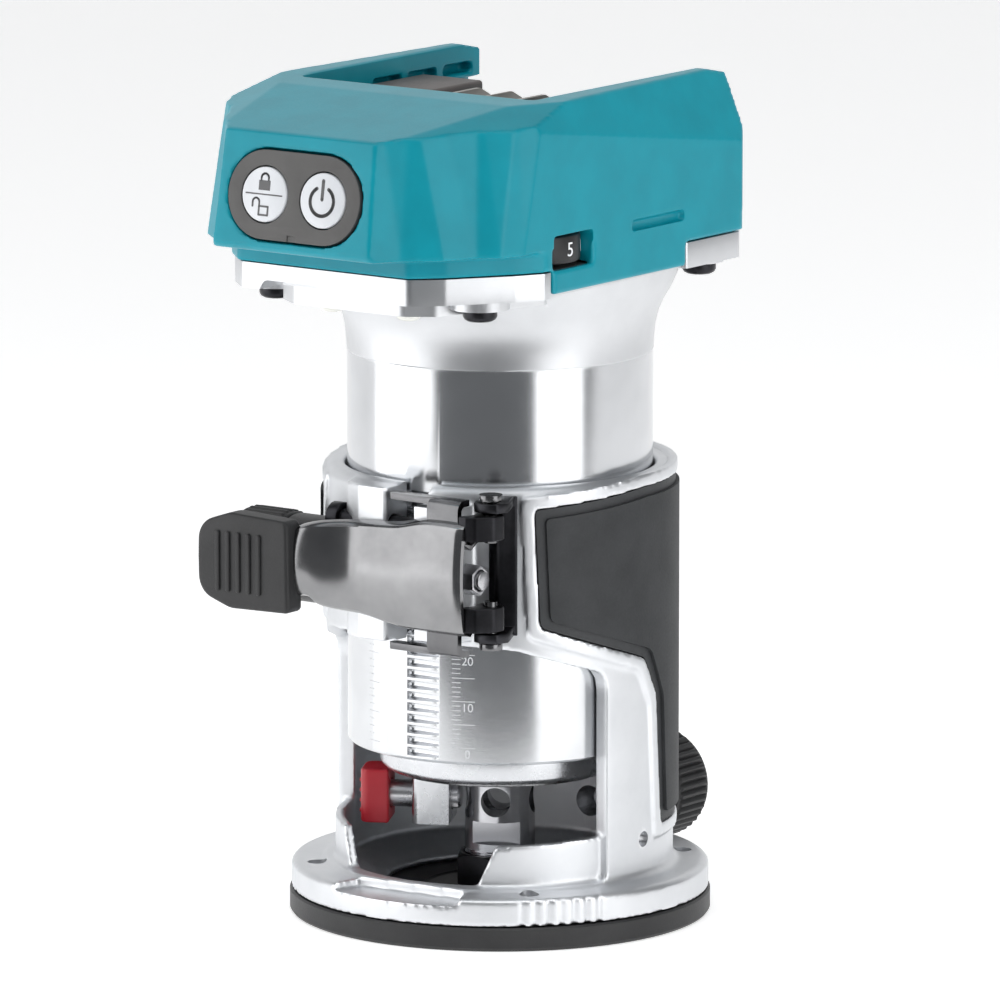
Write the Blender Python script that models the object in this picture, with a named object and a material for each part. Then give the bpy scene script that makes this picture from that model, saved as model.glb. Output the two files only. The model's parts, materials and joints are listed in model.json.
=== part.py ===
"""Cordless trim router on its adjustable base, with the battery off.

Sizes below are in millimetres in the tool's own frame: the spindle axis is the
vertical line x = y = 0, z = 0 is the underside of the base, -Y is the front,
where the two buttons are, and the battery slides in from +Y. Angles round the
tool run from the front (-Y) towards +X. The whole tool hangs on one empty,
SPINDLE_BACK behind the origin, so that the origin is the middle of its footprint.
"""

import math

import bmesh
import bpy
from mathutils import Matrix, Vector

MM = 0.001
SPINDLE_BACK = 6.0
GAP = 0.3

# base
BASE_R = 45.0
SUB_BASE_TOP = 5.1
SUB_BASE_HOLE_R = 16.0
DISC_TOP = 11.2
COLUMN_R = 37.0
COLUMN_BORE_R = 33.0
COLLAR_TOP = 97.6
WINDOW_HALF_ANGLE = 73.5
GUARD_R = (33.2, 35.2)
SUB_BASE_SCREW_R = 39.5
SPLIT_WIDTH = 7.5
EAR_FRONT = -41.0
GUIDE_Z = 17.6
GUIDE_BOSS_END = 47.2

# depth rack and pinion
RACK_PITCH = 2.4
RACK_FIRST = 39.4
RACK_SLOTS = 24
RACK_DEPTH = 1.6
PINION_TEETH = 12
PINION_Z = 79.0
TUBE_R = 32.5
PITCH_LINE_Y = -(TUBE_R - 0.75)
PINION_R = PINION_TEETH * RACK_PITCH / math.tau
PINION_Y = PITCH_LINE_Y - PINION_R
KNOB_R = 9.8

# clamp lever
HINGE_X = 24.5
HINGE_Y = -37.0
LEVER_Y = -43.2
CLAMP_BOLT_Z = 89.0
CLAMP_BOLT_Y = -38.0

# motor unit
TUBE_BOTTOM = 37.4
TUBE_BORE_R = 29.0
FLANGE_BOTTOM = 140.5
FLANGE_TOP = 146.0
CAP_BOTTOM = 31.0
SPINDLE_R = 7.5
LOCK_ANGLE = -62.0
LOCK_Z = 24.3
FRONT_SCREW = (26.5, -43.5)
REAR_SCREW = (31.5, 28.6)

# head
HEAD_BOTTOM = FLANGE_TOP + GAP
HEAD_HALF = 40.0
HEAD_BACK = 34.5
FACE_LOW = (-73.8, 151.8)
FACE_HIGH = (-70.2, 175.2)
DECK_LIP = (-38.0, 180.2)
RAIL_TOP = 180.8
CHANNEL_HALF = 30.5
CHANNEL_FLOOR = 168.3
CHANNEL_FRONT = -30.0
CAVITY_TOP = 164.6
DIAL_CENTRE = (30.0, -29.0)
DIAL_R = 9.5
BUTTON_X = 7.5
BUTTON_R = 5.75

for old in list(bpy.data.objects):
    bpy.data.objects.remove(old)

tool = bpy.data.objects.new("tool", None)
tool.location = (0, SPINDLE_BACK * MM, 0)
bpy.context.scene.collection.objects.link(tool)


def finish(name, colour, roughness, metallic):
    """A plain material of one colour."""
    made = bpy.data.materials.new(name)
    made.use_nodes = True
    shader = made.node_tree.nodes["Principled BSDF"]
    shader.inputs["Base Color"].default_value = (*colour, 1)
    shader.inputs["Roughness"].default_value = roughness
    shader.inputs["Metallic"].default_value = metallic
    return made


CAST = finish("cast_aluminium", (0.62, 0.64, 0.66), 0.45, 1.0)
TURNED = finish("turned_aluminium", (0.66, 0.67, 0.69), 0.25, 1.0)
STEEL = finish("steel", (0.45, 0.45, 0.47), 0.3, 1.0)
BLACK_STEEL = finish("black_steel", (0.03, 0.03, 0.035), 0.3, 0.9)
DARK_CHROME = finish("dark_chrome", (0.2, 0.2, 0.22), 0.15, 1.0)
BLACK_PLASTIC = finish("black_plastic", (0.012, 0.012, 0.013), 0.5, 0.0)
TEAL = finish("teal_plastic", (0.0, 0.23, 0.30), 0.4, 0.0)
PANEL_GREY = finish("panel_grey", (0.06, 0.058, 0.057), 0.5, 0.0)
BUTTON_GREY = finish("button_grey", (0.7, 0.71, 0.73), 0.4, 0.0)
RED = finish("red_plastic", (0.45, 0.01, 0.03), 0.35, 0.0)
RUBBER = finish("grip_rubber", (0.025, 0.027, 0.03), 0.8, 0.0)
COPPER = finish("copper", (0.72, 0.32, 0.12), 0.4, 0.9)
BOARD = finish("board_green", (0.01, 0.1, 0.04), 0.5, 0.0)
LENS = finish("led_lens", (0.85, 0.85, 0.8), 0.1, 0.0)


def outward(bm):
    """Turns every face of a closed shape outwards."""
    bmesh.ops.recalc_face_normals(bm, faces=bm.faces)
    if bm.calc_volume(signed=True) < 0:
        bmesh.ops.reverse_faces(bm, faces=bm.faces)


def box(low, high):
    """A block between two corners."""
    bm = bmesh.new()
    bmesh.ops.create_cube(bm, size=1)
    size = Vector(high) - Vector(low)
    middle = (Vector(high) + Vector(low)) / 2
    bmesh.ops.transform(bm, matrix=Matrix.Translation(middle) @ Matrix.Diagonal((*size, 1)), verts=bm.verts)
    return bm


def rod(start, end, radius, sides=24, end_radius=None):
    """A round bar, or a cone, from one point to another."""
    start, end = Vector(start), Vector(end)
    bm = bmesh.new()
    last = radius if end_radius is None else end_radius
    bmesh.ops.create_cone(
        bm, cap_ends=True, segments=sides, radius1=radius, radius2=last, depth=(end - start).length
    )
    turn = (end - start).to_track_quat("Z", "Y").to_matrix().to_4x4()
    bmesh.ops.transform(bm, matrix=Matrix.Translation((start + end) / 2) @ turn, verts=bm.verts)
    return bm


def turned(profile, steps=48, place=None):
    """A closed (radius, height) profile spun once round Z, then placed by a matrix."""
    bm = bmesh.new()
    ring = [bm.verts.new((r, 0, z)) for r, z in profile]
    edges = [bm.edges.new((a, b)) for a, b in zip(ring, ring[1:] + ring[:1])]
    bmesh.ops.spin(
        bm, geom=ring + edges, cent=(0, 0, 0), axis=(0, 0, 1), angle=math.tau, steps=steps, use_merge=True
    )
    bmesh.ops.remove_doubles(bm, verts=bm.verts, dist=1e-4)
    outward(bm)
    if place:
        bmesh.ops.transform(bm, matrix=place, verts=bm.verts)
    return bm


def slab(outline, low, high, axis="Z"):
    """An outline pushed along an axis. It lies in XY for Z, in XZ for Y and in YZ for X."""
    place = {
        "Z": lambda a, b, c: (a, b, c),
        "Y": lambda a, b, c: (a, c, b),
        "X": lambda a, b, c: (c, a, b),
    }[axis]
    bm = bmesh.new()
    face = bm.faces.new([bm.verts.new(place(a, b, low)) for a, b in outline])
    grown = bmesh.ops.extrude_face_region(bm, geom=[face])["geom"]
    moved = [v for v in grown if isinstance(v, bmesh.types.BMVert)]
    bmesh.ops.translate(bm, verts=moved, vec=place(0, 0, high - low))
    outward(bm)
    return bm


def sliced(bm, axis, places):
    """The same solid with an edge loop across it at each place along an axis."""
    normal = Vector([float(name == axis) for name in "XYZ"])
    for place in places:
        geom = bm.verts[:] + bm.edges[:] + bm.faces[:]
        bmesh.ops.bisect_plane(bm, geom=geom, plane_co=normal * place, plane_no=normal, dist=1e-5)
    return bm


def wrapped(outline, inner, outer, step=7.5):
    """A patch of a tube wall between two radii. Its outline is in (degrees, height)."""
    bm = slab(outline, inner, outer, "Y")
    low = min(a for a, _ in outline)
    high = max(a for a, _ in outline)
    first = math.floor(low / step) + 1
    sliced(bm, "X", [k * step for k in range(first, math.ceil(high / step))])
    for v in bm.verts:
        angle, radius, height = math.radians(v.co.x), v.co.y, v.co.z
        v.co = (radius * math.sin(angle), -radius * math.cos(angle), height)
    outward(bm)
    return bm


def merged(*parts):
    """Several shapes in one mesh, for a cutter of many pieces."""
    whole = bmesh.new()
    for part in parts:
        spare = bpy.data.meshes.new("spare")
        part.to_mesh(spare)
        part.free()
        whole.from_mesh(spare)
        bpy.data.meshes.remove(spare)
    return whole


def mirrored(bm, normal=(1, 0, 0)):
    """The mirror image of a shape, across the plane x = 0 unless told otherwise."""
    copy = bm.copy()
    turn = Matrix.Scale(-1, 4, normal)
    bmesh.ops.transform(copy, matrix=turn, verts=copy.verts)
    bmesh.ops.reverse_faces(copy, faces=copy.faces)
    return copy


def both_sides(bm):
    return merged(bm, mirrored(bm))


def round_outline(corners, steps=5):
    """An outline through (a, b, radius) corners, with each corner rounded to its radius."""
    points = []
    for k, (a, b, radius) in enumerate(corners):
        here = Vector((a, b))
        before = Vector(corners[k - 1][:2]) - here
        after = Vector(corners[(k + 1) % len(corners)][:2]) - here
        if radius == 0:
            points.append((a, b))
            continue
        half = before.angle(after) / 2
        reach = radius / math.tan(half)
        centre = here + (before.normalized() + after.normalized()).normalized() * radius / math.sin(half)
        start = here + before.normalized() * reach - centre
        end = here + after.normalized() * reach - centre
        sweep = start.angle_signed(end)
        for i in range(steps + 1):
            spoke = start.copy()
            spoke.rotate(Matrix.Rotation(-sweep * i / steps, 2))
            points.append(tuple(centre + spoke))
    return points


def solid(name, bm, material, pivot=(0, 0, 0), helper=False):
    """Hangs a shape on the tool as one object, with its origin at the pivot."""
    bmesh.ops.translate(bm, verts=bm.verts, vec=-Vector(pivot))
    bmesh.ops.scale(bm, verts=bm.verts, vec=(MM, MM, MM))
    mesh = bpy.data.meshes.new(name)
    bm.to_mesh(mesh)
    bm.free()
    mesh.shade_smooth()
    mesh.set_sharp_from_angle(angle=math.radians(35))
    made = bpy.data.objects.new(name, mesh)
    made.parent = tool
    made.location = Vector(pivot) * MM
    bpy.context.scene.collection.objects.link(made)
    if helper:
        made.hide_render = True
        made.display_type = "WIRE"
    else:
        mesh.materials.append(material)
    return made


def boolean(target, bm, operation, note):
    helper = solid(f"{target.name}.{note}", bm, None, helper=True)
    made = target.modifiers.new(note, "BOOLEAN")
    made.operation = operation
    made.object = helper


def cut(target, bm, note):
    boolean(target, bm, "DIFFERENCE", note)


def fuse(target, bm, note):
    boolean(target, bm, "UNION", note)


def around(radius, degrees, z):
    """A point at an angle round the spindle axis."""
    turn = math.radians(degrees)
    return Vector((radius * math.sin(turn), -radius * math.cos(turn), z))


def ring_outline(radius, sides, start=0.0, centre=(0, 0)):
    """A regular polygon."""
    spokes = [start + math.tau * k / sides for k in range(sides)]
    return [(centre[0] + radius * math.cos(a), centre[1] + radius * math.sin(a)) for a in spokes]


def fluted_outline(radius, depth, flutes):
    """A circle with a fine V-shaped knurl."""
    count = 2 * flutes
    radii = [radius - depth * (k % 2) for k in range(count)]
    turns = [math.tau * k / count for k in range(count)]
    return [(r * math.cos(turn), r * math.sin(turn)) for r, turn in zip(radii, turns)]


def placed(bm, matrix):
    bmesh.ops.transform(bm, matrix=matrix, verts=bm.verts)
    return bm


def sub_base():
    """The black plastic disc that slides on the work."""
    edge = 0.8
    profile = [
        (SUB_BASE_HOLE_R, 0),
        (BASE_R - edge, 0),
        (BASE_R, edge),
        (BASE_R, SUB_BASE_TOP),
        (SUB_BASE_HOLE_R, SUB_BASE_TOP),
    ]
    disc = solid("sub_base", turned(profile, 48), BLACK_PLASTIC)
    seats = []
    for k in range(4):
        spot = around(SUB_BASE_SCREW_R, 45 + 90 * k, 0)
        seat = [(0, -1), (3.9, -1), (3.9, 1.9), (2.1, 3.6), (2.1, 8), (0, 8)]
        seats.append(turned(seat, 16, Matrix.Translation(spot)))
    cut(disc, merged(*seats), "screw_seats")
    for k in range(4):
        spot = Matrix.Translation(around(SUB_BASE_SCREW_R, 45 + 90 * k, 0))
        shank = [(0, 0.6), (3.5, 0.6), (3.5, 1.9), (1.8, 3.5), (1.8, 9.4), (0, 9.4)]
        solid(f"sub_base_screw_{k + 1}", turned(shank, 16, spot), STEEL)


def base_casting():
    """One aluminium casting: the disc, the open column, and the collar with its two ears."""
    profile = [
        (24.0, SUB_BASE_TOP + GAP),
        (BASE_R - 0.4, SUB_BASE_TOP + GAP),
        (BASE_R - 0.4, DISC_TOP - 1.0),
        (BASE_R - 1.4, DISC_TOP),
        (COLUMN_R + 1.0, DISC_TOP),
        (COLUMN_R, DISC_TOP + 1.2),
        (COLUMN_R, COLLAR_TOP - 1.6),
        (COLUMN_R - 0.6, COLLAR_TOP - 0.5),
        (COLUMN_R - 1.8, COLLAR_TOP),
        (COLUMN_BORE_R, COLLAR_TOP),
        (COLUMN_BORE_R, DISC_TOP - 0.6),
        (24.0, SUB_BASE_TOP + 1.6),
    ]
    casting = solid("base_casting", turned(profile, 56), CAST)
    side = WINDOW_HALF_ANGLE
    half = [(20, 64.0), (41, 62.9), (62, 58.8), (70, 57.6), (side, 54.5), (side, 11.0)]
    window = [(-a, z) for a, z in half[::-1]] + half
    cut(casting, wrapped(window, 30, 42), "window")
    guard = [(27, DISC_TOP - 1.5), (75, DISC_TOP - 1.5), (75, 21.4), (34.5, 20.4)]
    fuse(casting, both_sides(wrapped(guard, *GUARD_R)), "guards")
    left_ear = [
        (0, -33.4),
        (0, -40.4),
        (-1, EAR_FRONT),
        (-7, EAR_FRONT),
        (-11.5, -39.2),
        (-13, -34.2),
        (-12, -31.8),
    ]
    right_ear = [(SPLIT_WIDTH, -33.0), (17, -30), (17, -39.2), (15.6, EAR_FRONT), (SPLIT_WIDTH, EAR_FRONT)]
    fuse(casting, slab(left_ear, 64.2, 97.2), "left_ear")
    fuse(casting, slab(right_ear, 65.2, 94.4), "right_ear")
    fuse(casting, rod((0, 34.5, GUIDE_Z), (0, GUIDE_BOSS_END, GUIDE_Z), 7.0), "guide_boss")
    cut(casting, box((0, -50, 60), (SPLIT_WIDTH, -30, 104)), "split")
    cut(casting, rod((-40, PINION_Y, PINION_Z), (30, PINION_Y, PINION_Z), 2.4), "pinion_bore")
    cut(casting, rod((-30, CLAMP_BOLT_Y, CLAMP_BOLT_Z), (30, CLAMP_BOLT_Y, CLAMP_BOLT_Z), 2.2), "bolt_bore")
    cut(casting, both_sides(wrapped(grip_outline(GAP), COLUMN_R - 1.6, 42)), "grip_pockets")
    cut(casting, rod((0, 25, GUIDE_Z), (0, 60, GUIDE_Z), 3.4), "guide_thread")
    cut(casting, rod((-50, 0.9, 19.3), (50, 0.9, 19.3), 1.7, 12), "leg_holes")
    taps = []
    for k in range(4):
        turn = 45 + 90 * k
        taps.append(rod(around(SUB_BASE_SCREW_R, turn, 4), around(SUB_BASE_SCREW_R, turn, 14), 2.1, 16))
    cut(casting, merged(*taps), "screw_taps")
    front = [(-16, DISC_TOP - 1.7), (24.5, DISC_TOP - 1.7), (24.5, DISC_TOP + 3), (-16, DISC_TOP + 3)]
    cut(casting, wrapped(front, 37.8, 50, 6), "low_front_rim")


def grip_outline(grow=0.0):
    """The rubber grip's outline on the right side, in (degrees, height)."""
    d = math.degrees(grow / COLUMN_R)
    return [
        (47.6 - d, 92.8 + grow),
        (50.0 - d, 67.5 - grow),
        (92.0, 58.6 - grow),
        (98.6 - d, 50.0),
        (101.5 - d, 22.0 - grow),
        (160.0 + d, 22.0 - grow),
        (160.0 + d, 95.2 + grow),
        (90.0, 95.2 + grow),
    ]


def grips():
    """Soft rubber panels in pockets on both sides of the column."""
    patch = wrapped(grip_outline(), COLUMN_R - 1.3, COLUMN_R + 0.9)
    solid("grip_left", mirrored(patch), RUBBER)
    solid("grip_right", patch, RUBBER)


def guide_screw():
    """The knurled screw behind the column that clamps a straight guide."""
    pivot = (0, 55, GUIDE_Z)
    back = Matrix.Rotation(-math.pi / 2, 4, "X")
    place = Matrix.Translation((0, 0, GUIDE_Z)) @ back
    knob = placed(slab(fluted_outline(12.0, 0.6, 30), 49.9, 61.8), place)
    made = solid("guide_knob", knob, BLACK_PLASTIC, pivot)
    neck = turned([(0, 47.6), (6.5, 47.6), (6.5, 51), (0, 51)], 24, place)
    fuse(made, neck, "neck")
    face = turned([(0, 60.8), (9.0, 60.8), (9.8, 63), (0, 63)], 24, place)
    cut(made, face, "dish")
    cut(made, turned([(0, 44), (3.4, 44), (3.4, 57.6), (0, 57.6)], 16, place), "stud_socket")
    stud = turned([(0, 37.8), (2.4, 37.8), (3.0, 38.6), (3.0, 57.2), (0, 57.2)], 16, place)
    solid("guide_stud", stud, STEEL, pivot)


def pinion_outline():
    """Twelve straight-sided teeth, in (y, z) round the pinion axis, with a gap facing the rack."""
    slope = math.tan(math.radians(20))
    points = []
    for tooth in range(PINION_TEETH):
        middle = math.tau * (tooth + 0.5) / PINION_TEETH
        for radius, side in ((3.65, -1), (PINION_R + 0.55, -1), (PINION_R + 0.55, 1), (3.65, 1)):
            half_width = 0.36 - (radius - PINION_R) * slope
            turn = middle + side * half_width / radius
            points.append((PINION_Y + radius * math.cos(turn), PINION_Z + radius * math.sin(turn)))
    return points


def depth_adjuster():
    """The pinion between the ears, its shaft, and the knob that lifts the motor."""
    axis = (0, PINION_Y, PINION_Z)
    shaft = solid("pinion_shaft", slab(pinion_outline(), 0.6, SPLIT_WIDTH - 0.6, "X"), STEEL, axis)
    along = Matrix.Translation((0, PINION_Y, PINION_Z)) @ Matrix.Rotation(math.pi / 2, 4, "Y")
    bar = turned([(0, -37.5), (2.0, -37.5), (2.0, 22.2), (0, 22.2)], 20, along)
    fuse(shaft, bar, "bar")
    body = placed(slab(fluted_outline(KNOB_R, 0.5, 28), -39.4, -27.3), along)
    knob = solid("depth_knob", body, BLACK_PLASTIC, axis)
    cut(knob, turned([(0, -38.0), (2.3, -38.0), (2.3, -20), (0, -20)], 20, along), "bore")
    ring = turned([(2.4, -26.9), (9.3, -26.9), (9.3, -16.6), (2.4, -16.6)], 28, along)
    spacer = solid("knob_spacer", ring, BLACK_PLASTIC)
    cut(spacer, rod((0, 0, 60), (0, 0, 100), COLUMN_R + 0.5, 48), "collar_side")
    nut = slab(ring_outline(3.3, 6), 17.4, 21.4)
    made = solid("pinion_nut", placed(nut, along), STEEL, axis)
    cut(made, turned([(0, 10), (2.3, 10), (2.3, 30), (0, 30)], 16, along), "thread")


def clamp():
    """The bolt, link and hinge that close the split collar when the lever is shut."""
    along = Matrix.Translation((0, CLAMP_BOLT_Y, CLAMP_BOLT_Z)) @ Matrix.Rotation(math.pi / 2, 4, "Y")
    profile = [(0, -15.6), (3.3, -15.6), (3.3, -12.9), (1.9, -12.9), (1.9, 20.6), (0, 20.6)]
    solid("clamp_bolt", turned(profile, 20, along), BLACK_STEEL)
    nut = solid("clamp_nut", placed(slab(ring_outline(3.5, 6), 17.3, 20.2), along), STEEL)
    cut(nut, turned([(0, 10), (2.2, 10), (2.2, 30), (0, 30)], 16, along), "thread")

    link = solid("clamp_link", box((0.7, -41.2, 95.0), (20.0, -38.4, 96.4)), BLACK_STEEL)
    fuse(link, box((12.0, -42.6, 63.0), (20.0, -41.3, 96.4)), "web")
    fuse(link, box((12.0, -42.6, 95.0), (20.0, -40.0, 96.4)), "top_bend")
    fuse(link, box((0.7, -42.6, 63.0), (20.0, -38.4, 64.4)), "low_arm")

    patch = [(32.5, 66.5), (41.5, 66.5), (41.5, 96.2), (32.5, 96.2)]
    plate = wrapped(patch, COLUMN_R + GAP, COLUMN_R + 1.4, 3)
    bracket = solid("hinge_bracket", plate, BLACK_STEEL)
    lug = [
        (20.9, -31.6),
        (24.6, -28.8),
        (28.3, -36.0),
        (27.6, -39.2),
        (24.5, -40.4),
        (22.0, -39.6),
        (20.9, -37.4),
    ]
    fuse(bracket, slab(lug, 94.2, 96.2), "upper_lug")
    fuse(bracket, slab(lug, 66.5, 68.5), "lower_lug")
    cut(bracket, rod((HINGE_X, HINGE_Y, 60), (HINGE_X, HINGE_Y, 100), 1.7, 16), "pin_bores")
    for name, low, high, head in (("upper", 87.6, 96.6, 96.5), ("lower", 66.1, 75.1, 64.9)):
        bar = rod((HINGE_X, HINGE_Y, low), (HINGE_X, HINGE_Y, high), 1.4, 16)
        pin = solid(f"hinge_pin_{name}", bar, STEEL)
        fuse(pin, rod((HINGE_X, HINGE_Y, head), (HINGE_X, HINGE_Y, head + 1.3), 2.5, 16), "head")


def lever_curve(x):
    """How far the lever's plate stands forward of its hinge end, along its length."""
    reach = max(0.0, min(1.0, (-4.0 - x) / 15.0))
    return -4.2 * reach * reach * (3 - 2 * reach)


def clamp_lever():
    """The quick-release lever: a dished steel plate with a moulded finger pad."""
    pivot = (HINGE_X, HINGE_Y, 79)
    corners = [
        (22.4, 67.4, 0.8),
        (22.4, 91.8, 0.8),
        (6.0, 91.0, 6),
        (-9.0, 88.4, 6),
        (-15.5, 84.6, 2),
        (-30.0, 84.6, 1),
        (-30.0, 73.2, 1),
        (-15.5, 73.2, 2),
        (-9.0, 70.4, 6),
        (6.0, 66.2, 6),
    ]
    face = slab(round_outline(corners, 3), LEVER_Y - 1.2, LEVER_Y, "Y")
    sliced(face, "X", [-4 - 1.5 * k for k in range(11)])
    for v in face.verts:
        v.co.y += lever_curve(v.co.x)
    plate = solid("lever_plate", face, DARK_CHROME, pivot)
    arm = [
        (22.2, LEVER_Y - 0.6),
        (22.2, -39.0),
        (20.9, -37.5),
        (21.4, -34.9),
        (24.5, -33.8),
        (27.6, -36.4),
        (27.4, -39.4),
        (24.4, -43.2),
    ]
    for note, low in (("upper", 88.4), ("lower", 69.0)):
        fuse(plate, slab(arm, low, low + 5.2), f"{note}_knuckle")
    bore = rod((HINGE_X, HINGE_Y, 60), (HINGE_X, HINGE_Y, 100), 1.7, 16)
    cut(plate, bore, "hinge_bore")

    corners = [
        (-18.5, 70.0, 1),
        (-18.5, 88.8, 1),
        (-36, 89.4, 5),
        (-41.2, 85.5, 5),
        (-41.2, 73.5, 5),
        (-36, 69.4, 5),
    ]
    pad = solid("lever_pad", slab(round_outline(corners, 4), -52.0, -47.0, "Y"), BLACK_PLASTIC, pivot)
    cut(pad, box((-31, -49.0, 72.8), (-10, -46.7, 85.0)), "tongue_slot")
    ribs = [box((x, -53, 73), (x + 0.9, -51.6, 86)) for x in (-37, -34, -31, -28, -25)]
    cut(pad, merged(*ribs), "grip_grooves")


def motor_housing():
    """The turned aluminium motor tube, its flared neck and the flange that the head sits on."""
    profile = [
        (10.5, TUBE_BOTTOM),
        (TUBE_R - 0.6, TUBE_BOTTOM),
        (TUBE_R, TUBE_BOTTOM + 0.6),
        (TUBE_R, 122.0),
        (TUBE_R + 0.3, 127.0),
        (34.2, 132.0),
        (36.6, 136.0),
        (38.2, FLANGE_BOTTOM + 0.4),
        (38.0, FLANGE_BOTTOM + 1.2),
        (31.0, FLANGE_TOP - 1.0),
        (TUBE_BORE_R, FLANGE_TOP - 1.0),
        (TUBE_BORE_R, 54.0),
        (16.3, 54.0),
        (16.3, 42.0),
        (10.5, 42.0),
    ]
    housing = solid("motor_housing", turned(profile, 48), TURNED)
    front = [(21.6, -62.0), (27.3, -56.8), (36.4, -44.4), (39.6, -38.6)]
    side = [(39.6, -36.3), (38.2, -36.3), (38.2, 12.3), (39.6, 12.3), (39.6, 31.0), (37.4, 33.6)]
    plan = front + side + [(-x, y) for x, y in (front + side)[::-1]]
    fuse(housing, slab(plan, FLANGE_BOTTOM, FLANGE_TOP), "flange")
    shelf = [(-20, -50), (-14, -54), (14, -54), (20, -50), (30, -22), (-30, -22)]
    fuse(housing, slab(shelf, 136.6, FLANGE_BOTTOM + 1), "front_shelf")
    bosses = []
    for (x, y), low, radius in ((FRONT_SCREW, 138.2, 6.2), (REAR_SCREW, 139.4, 5.2)):
        bosses += [rod((s * x, y, low), (s * x, y, 142), radius) for s in (-1, 1)]
    fuse(housing, merged(*bosses), "screw_bosses")
    cut(housing, rod((0, 0, 130), (0, 0, 150), TUBE_BORE_R - 0.15, 48), "top_opening")
    cut(housing, box((-15, -50, 139.5), (15, -20, 150)), "switch_well")
    arch = [(-18, FLANGE_BOTTOM - 1), (18, FLANGE_BOTTOM - 1), (15.2, 142.4), (-15.2, 142.4)]
    cut(housing, slab(arch, -63, -54.3, "Y"), "front_arch")
    screws = [(s * x, y) for s in (-1, 1) for x, y in (FRONT_SCREW, REAR_SCREW)]
    bores = [rod((*spot, 130), (*spot, 150), 2.2, 16) for spot in screws]
    cut(housing, merged(*bores), "screw_bores")
    slots = []
    for k in range(RACK_SLOTS):
        middle = RACK_FIRST + RACK_PITCH * k
        mouth, root = 0.92, 0.42
        shape = [
            (-TUBE_R - 1.0, middle - mouth),
            (-TUBE_R - 1.0, middle + mouth),
            (-TUBE_R, middle + mouth),
            (-TUBE_R + RACK_DEPTH, middle + root),
            (-TUBE_R + RACK_DEPTH, middle - root),
            (-TUBE_R, middle - mouth),
        ]
        slots.append(slab(shape, -0.6, SPLIT_WIDTH - 0.4, "X"))
    cut(housing, merged(*slots), "rack")


def bearing_cap():
    """The cap under the tube that holds the lower bearing, with the boss for the shaft lock."""
    profile = [(8.2, CAP_BOTTOM), (24.0, CAP_BOTTOM), (25.6, CAP_BOTTOM + 1.4), (25.6, 37.1), (8.2, 37.1)]
    cap = solid("bearing_cap", turned(profile, 36), CAST)
    lock = Matrix.Rotation(math.radians(LOCK_ANGLE), 4, "Z")
    boss = slab([(-6.2, -18.4), (6.2, -18.4), (6.2, -10.2), (-6.2, -10.2)], 18.9, CAP_BOTTOM + 1)
    fuse(cap, placed(boss, lock), "lock_boss")
    cut(cap, rod(around(2, LOCK_ANGLE, LOCK_Z), around(40, LOCK_ANGLE, LOCK_Z), 3.3), "lock_bore")


def shaft_lock():
    """The red button and the pin that it pushes into the spindle."""
    inner, middle, outer = 8.3, 23.4, 29.6
    pin = rod(around(inner, LOCK_ANGLE, LOCK_Z), around(middle + 3, LOCK_ANGLE, LOCK_Z), 2.9, 20)
    pivot = around(middle, LOCK_ANGLE, LOCK_Z)
    solid("shaft_lock_pin", pin, STEEL, pivot)
    turn = Matrix.Rotation(math.radians(LOCK_ANGLE), 4, "Z")
    corners = [(-5.0, -outer, 1.6), (5.0, -outer, 1.6), (5.0, -middle, 0), (-5.0, -middle, 0)]
    body = placed(slab(round_outline(corners, 4), 18.6, 30.2), turn)
    button = solid("shaft_lock_button", body, RED, pivot)
    hole = rod(around(middle - 2, LOCK_ANGLE, LOCK_Z), around(middle + 3.4, LOCK_ANGLE, LOCK_Z), 3.2, 20)
    cut(button, hole, "pin_socket")


def spindle_group():
    """The spindle with all that spins with it, and the collet nut."""
    profile = [
        (5.8, 8.0),
        (SPINDLE_R, 8.0),
        (SPINDLE_R, 31.5),
        (7.7, 32.0),
        (7.7, 41.0),
        (6.0, 41.6),
        (6.0, 112.0),
        (4.0, 112.6),
        (4.0, 125.0),
        (0, 125.0),
        (0, 14.4),
        (5.8, 14.4),
    ]
    spindle = solid("spindle", turned(profile, 28), STEEL)
    for k, radius in enumerate((3.35, 3.2)):
        turn = LOCK_ANGLE + 90 * k
        hole = rod(around(-20, turn, LOCK_Z), around(20, turn, LOCK_Z), radius, 20)
        cut(spindle, hole, f"lock_hole_{k + 1}")
    turn = Matrix.Rotation(math.radians(LOCK_ANGLE), 4, "Z")
    flats = [placed(box((s, -12, 15.0), (s + 6, 12, 19.8)), turn) for s in (5.5, -11.5)]
    cut(spindle, merged(*flats), "wrench_flats")
    solid("rotor_core", turned([(6.3, 74), (13.6, 74), (13.6, 106), (6.3, 106)], 24), STEEL)
    disc = [(6.3, 56), (9.5, 56), (10.5, 61.5), (26.0, 63.6), (26.0, 64.8), (6.3, 64.8)]
    fan = solid("fan", turned(disc, 24), BLACK_PLASTIC)
    blades = []
    for k in range(9):
        blade = slab([(9, -0.6), (25, -0.6), (25, 0.6), (9, 0.6)], 57.5, 64.0)
        blades.append(placed(blade, Matrix.Rotation(math.tau * k / 9, 4, "Z")))
    fuse(fan, merged(*blades), "blades")
    solid("collet", turned([(3.2, 5.4), (5.0, 5.4), (5.5, 7.8), (5.5, 14.0), (3.2, 14.0)], 24), STEEL)
    nut = solid("collet_nut", slab(ring_outline(9.8, 6, math.radians(LOCK_ANGLE)), 5.0, 12.4), BLACK_STEEL)
    bore = turned([(0, 3), (5.8, 3), (5.8, 7.6), (7.8, 7.7), (7.8, 14), (0, 14)], 24)
    cut(nut, bore, "bore")


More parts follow.
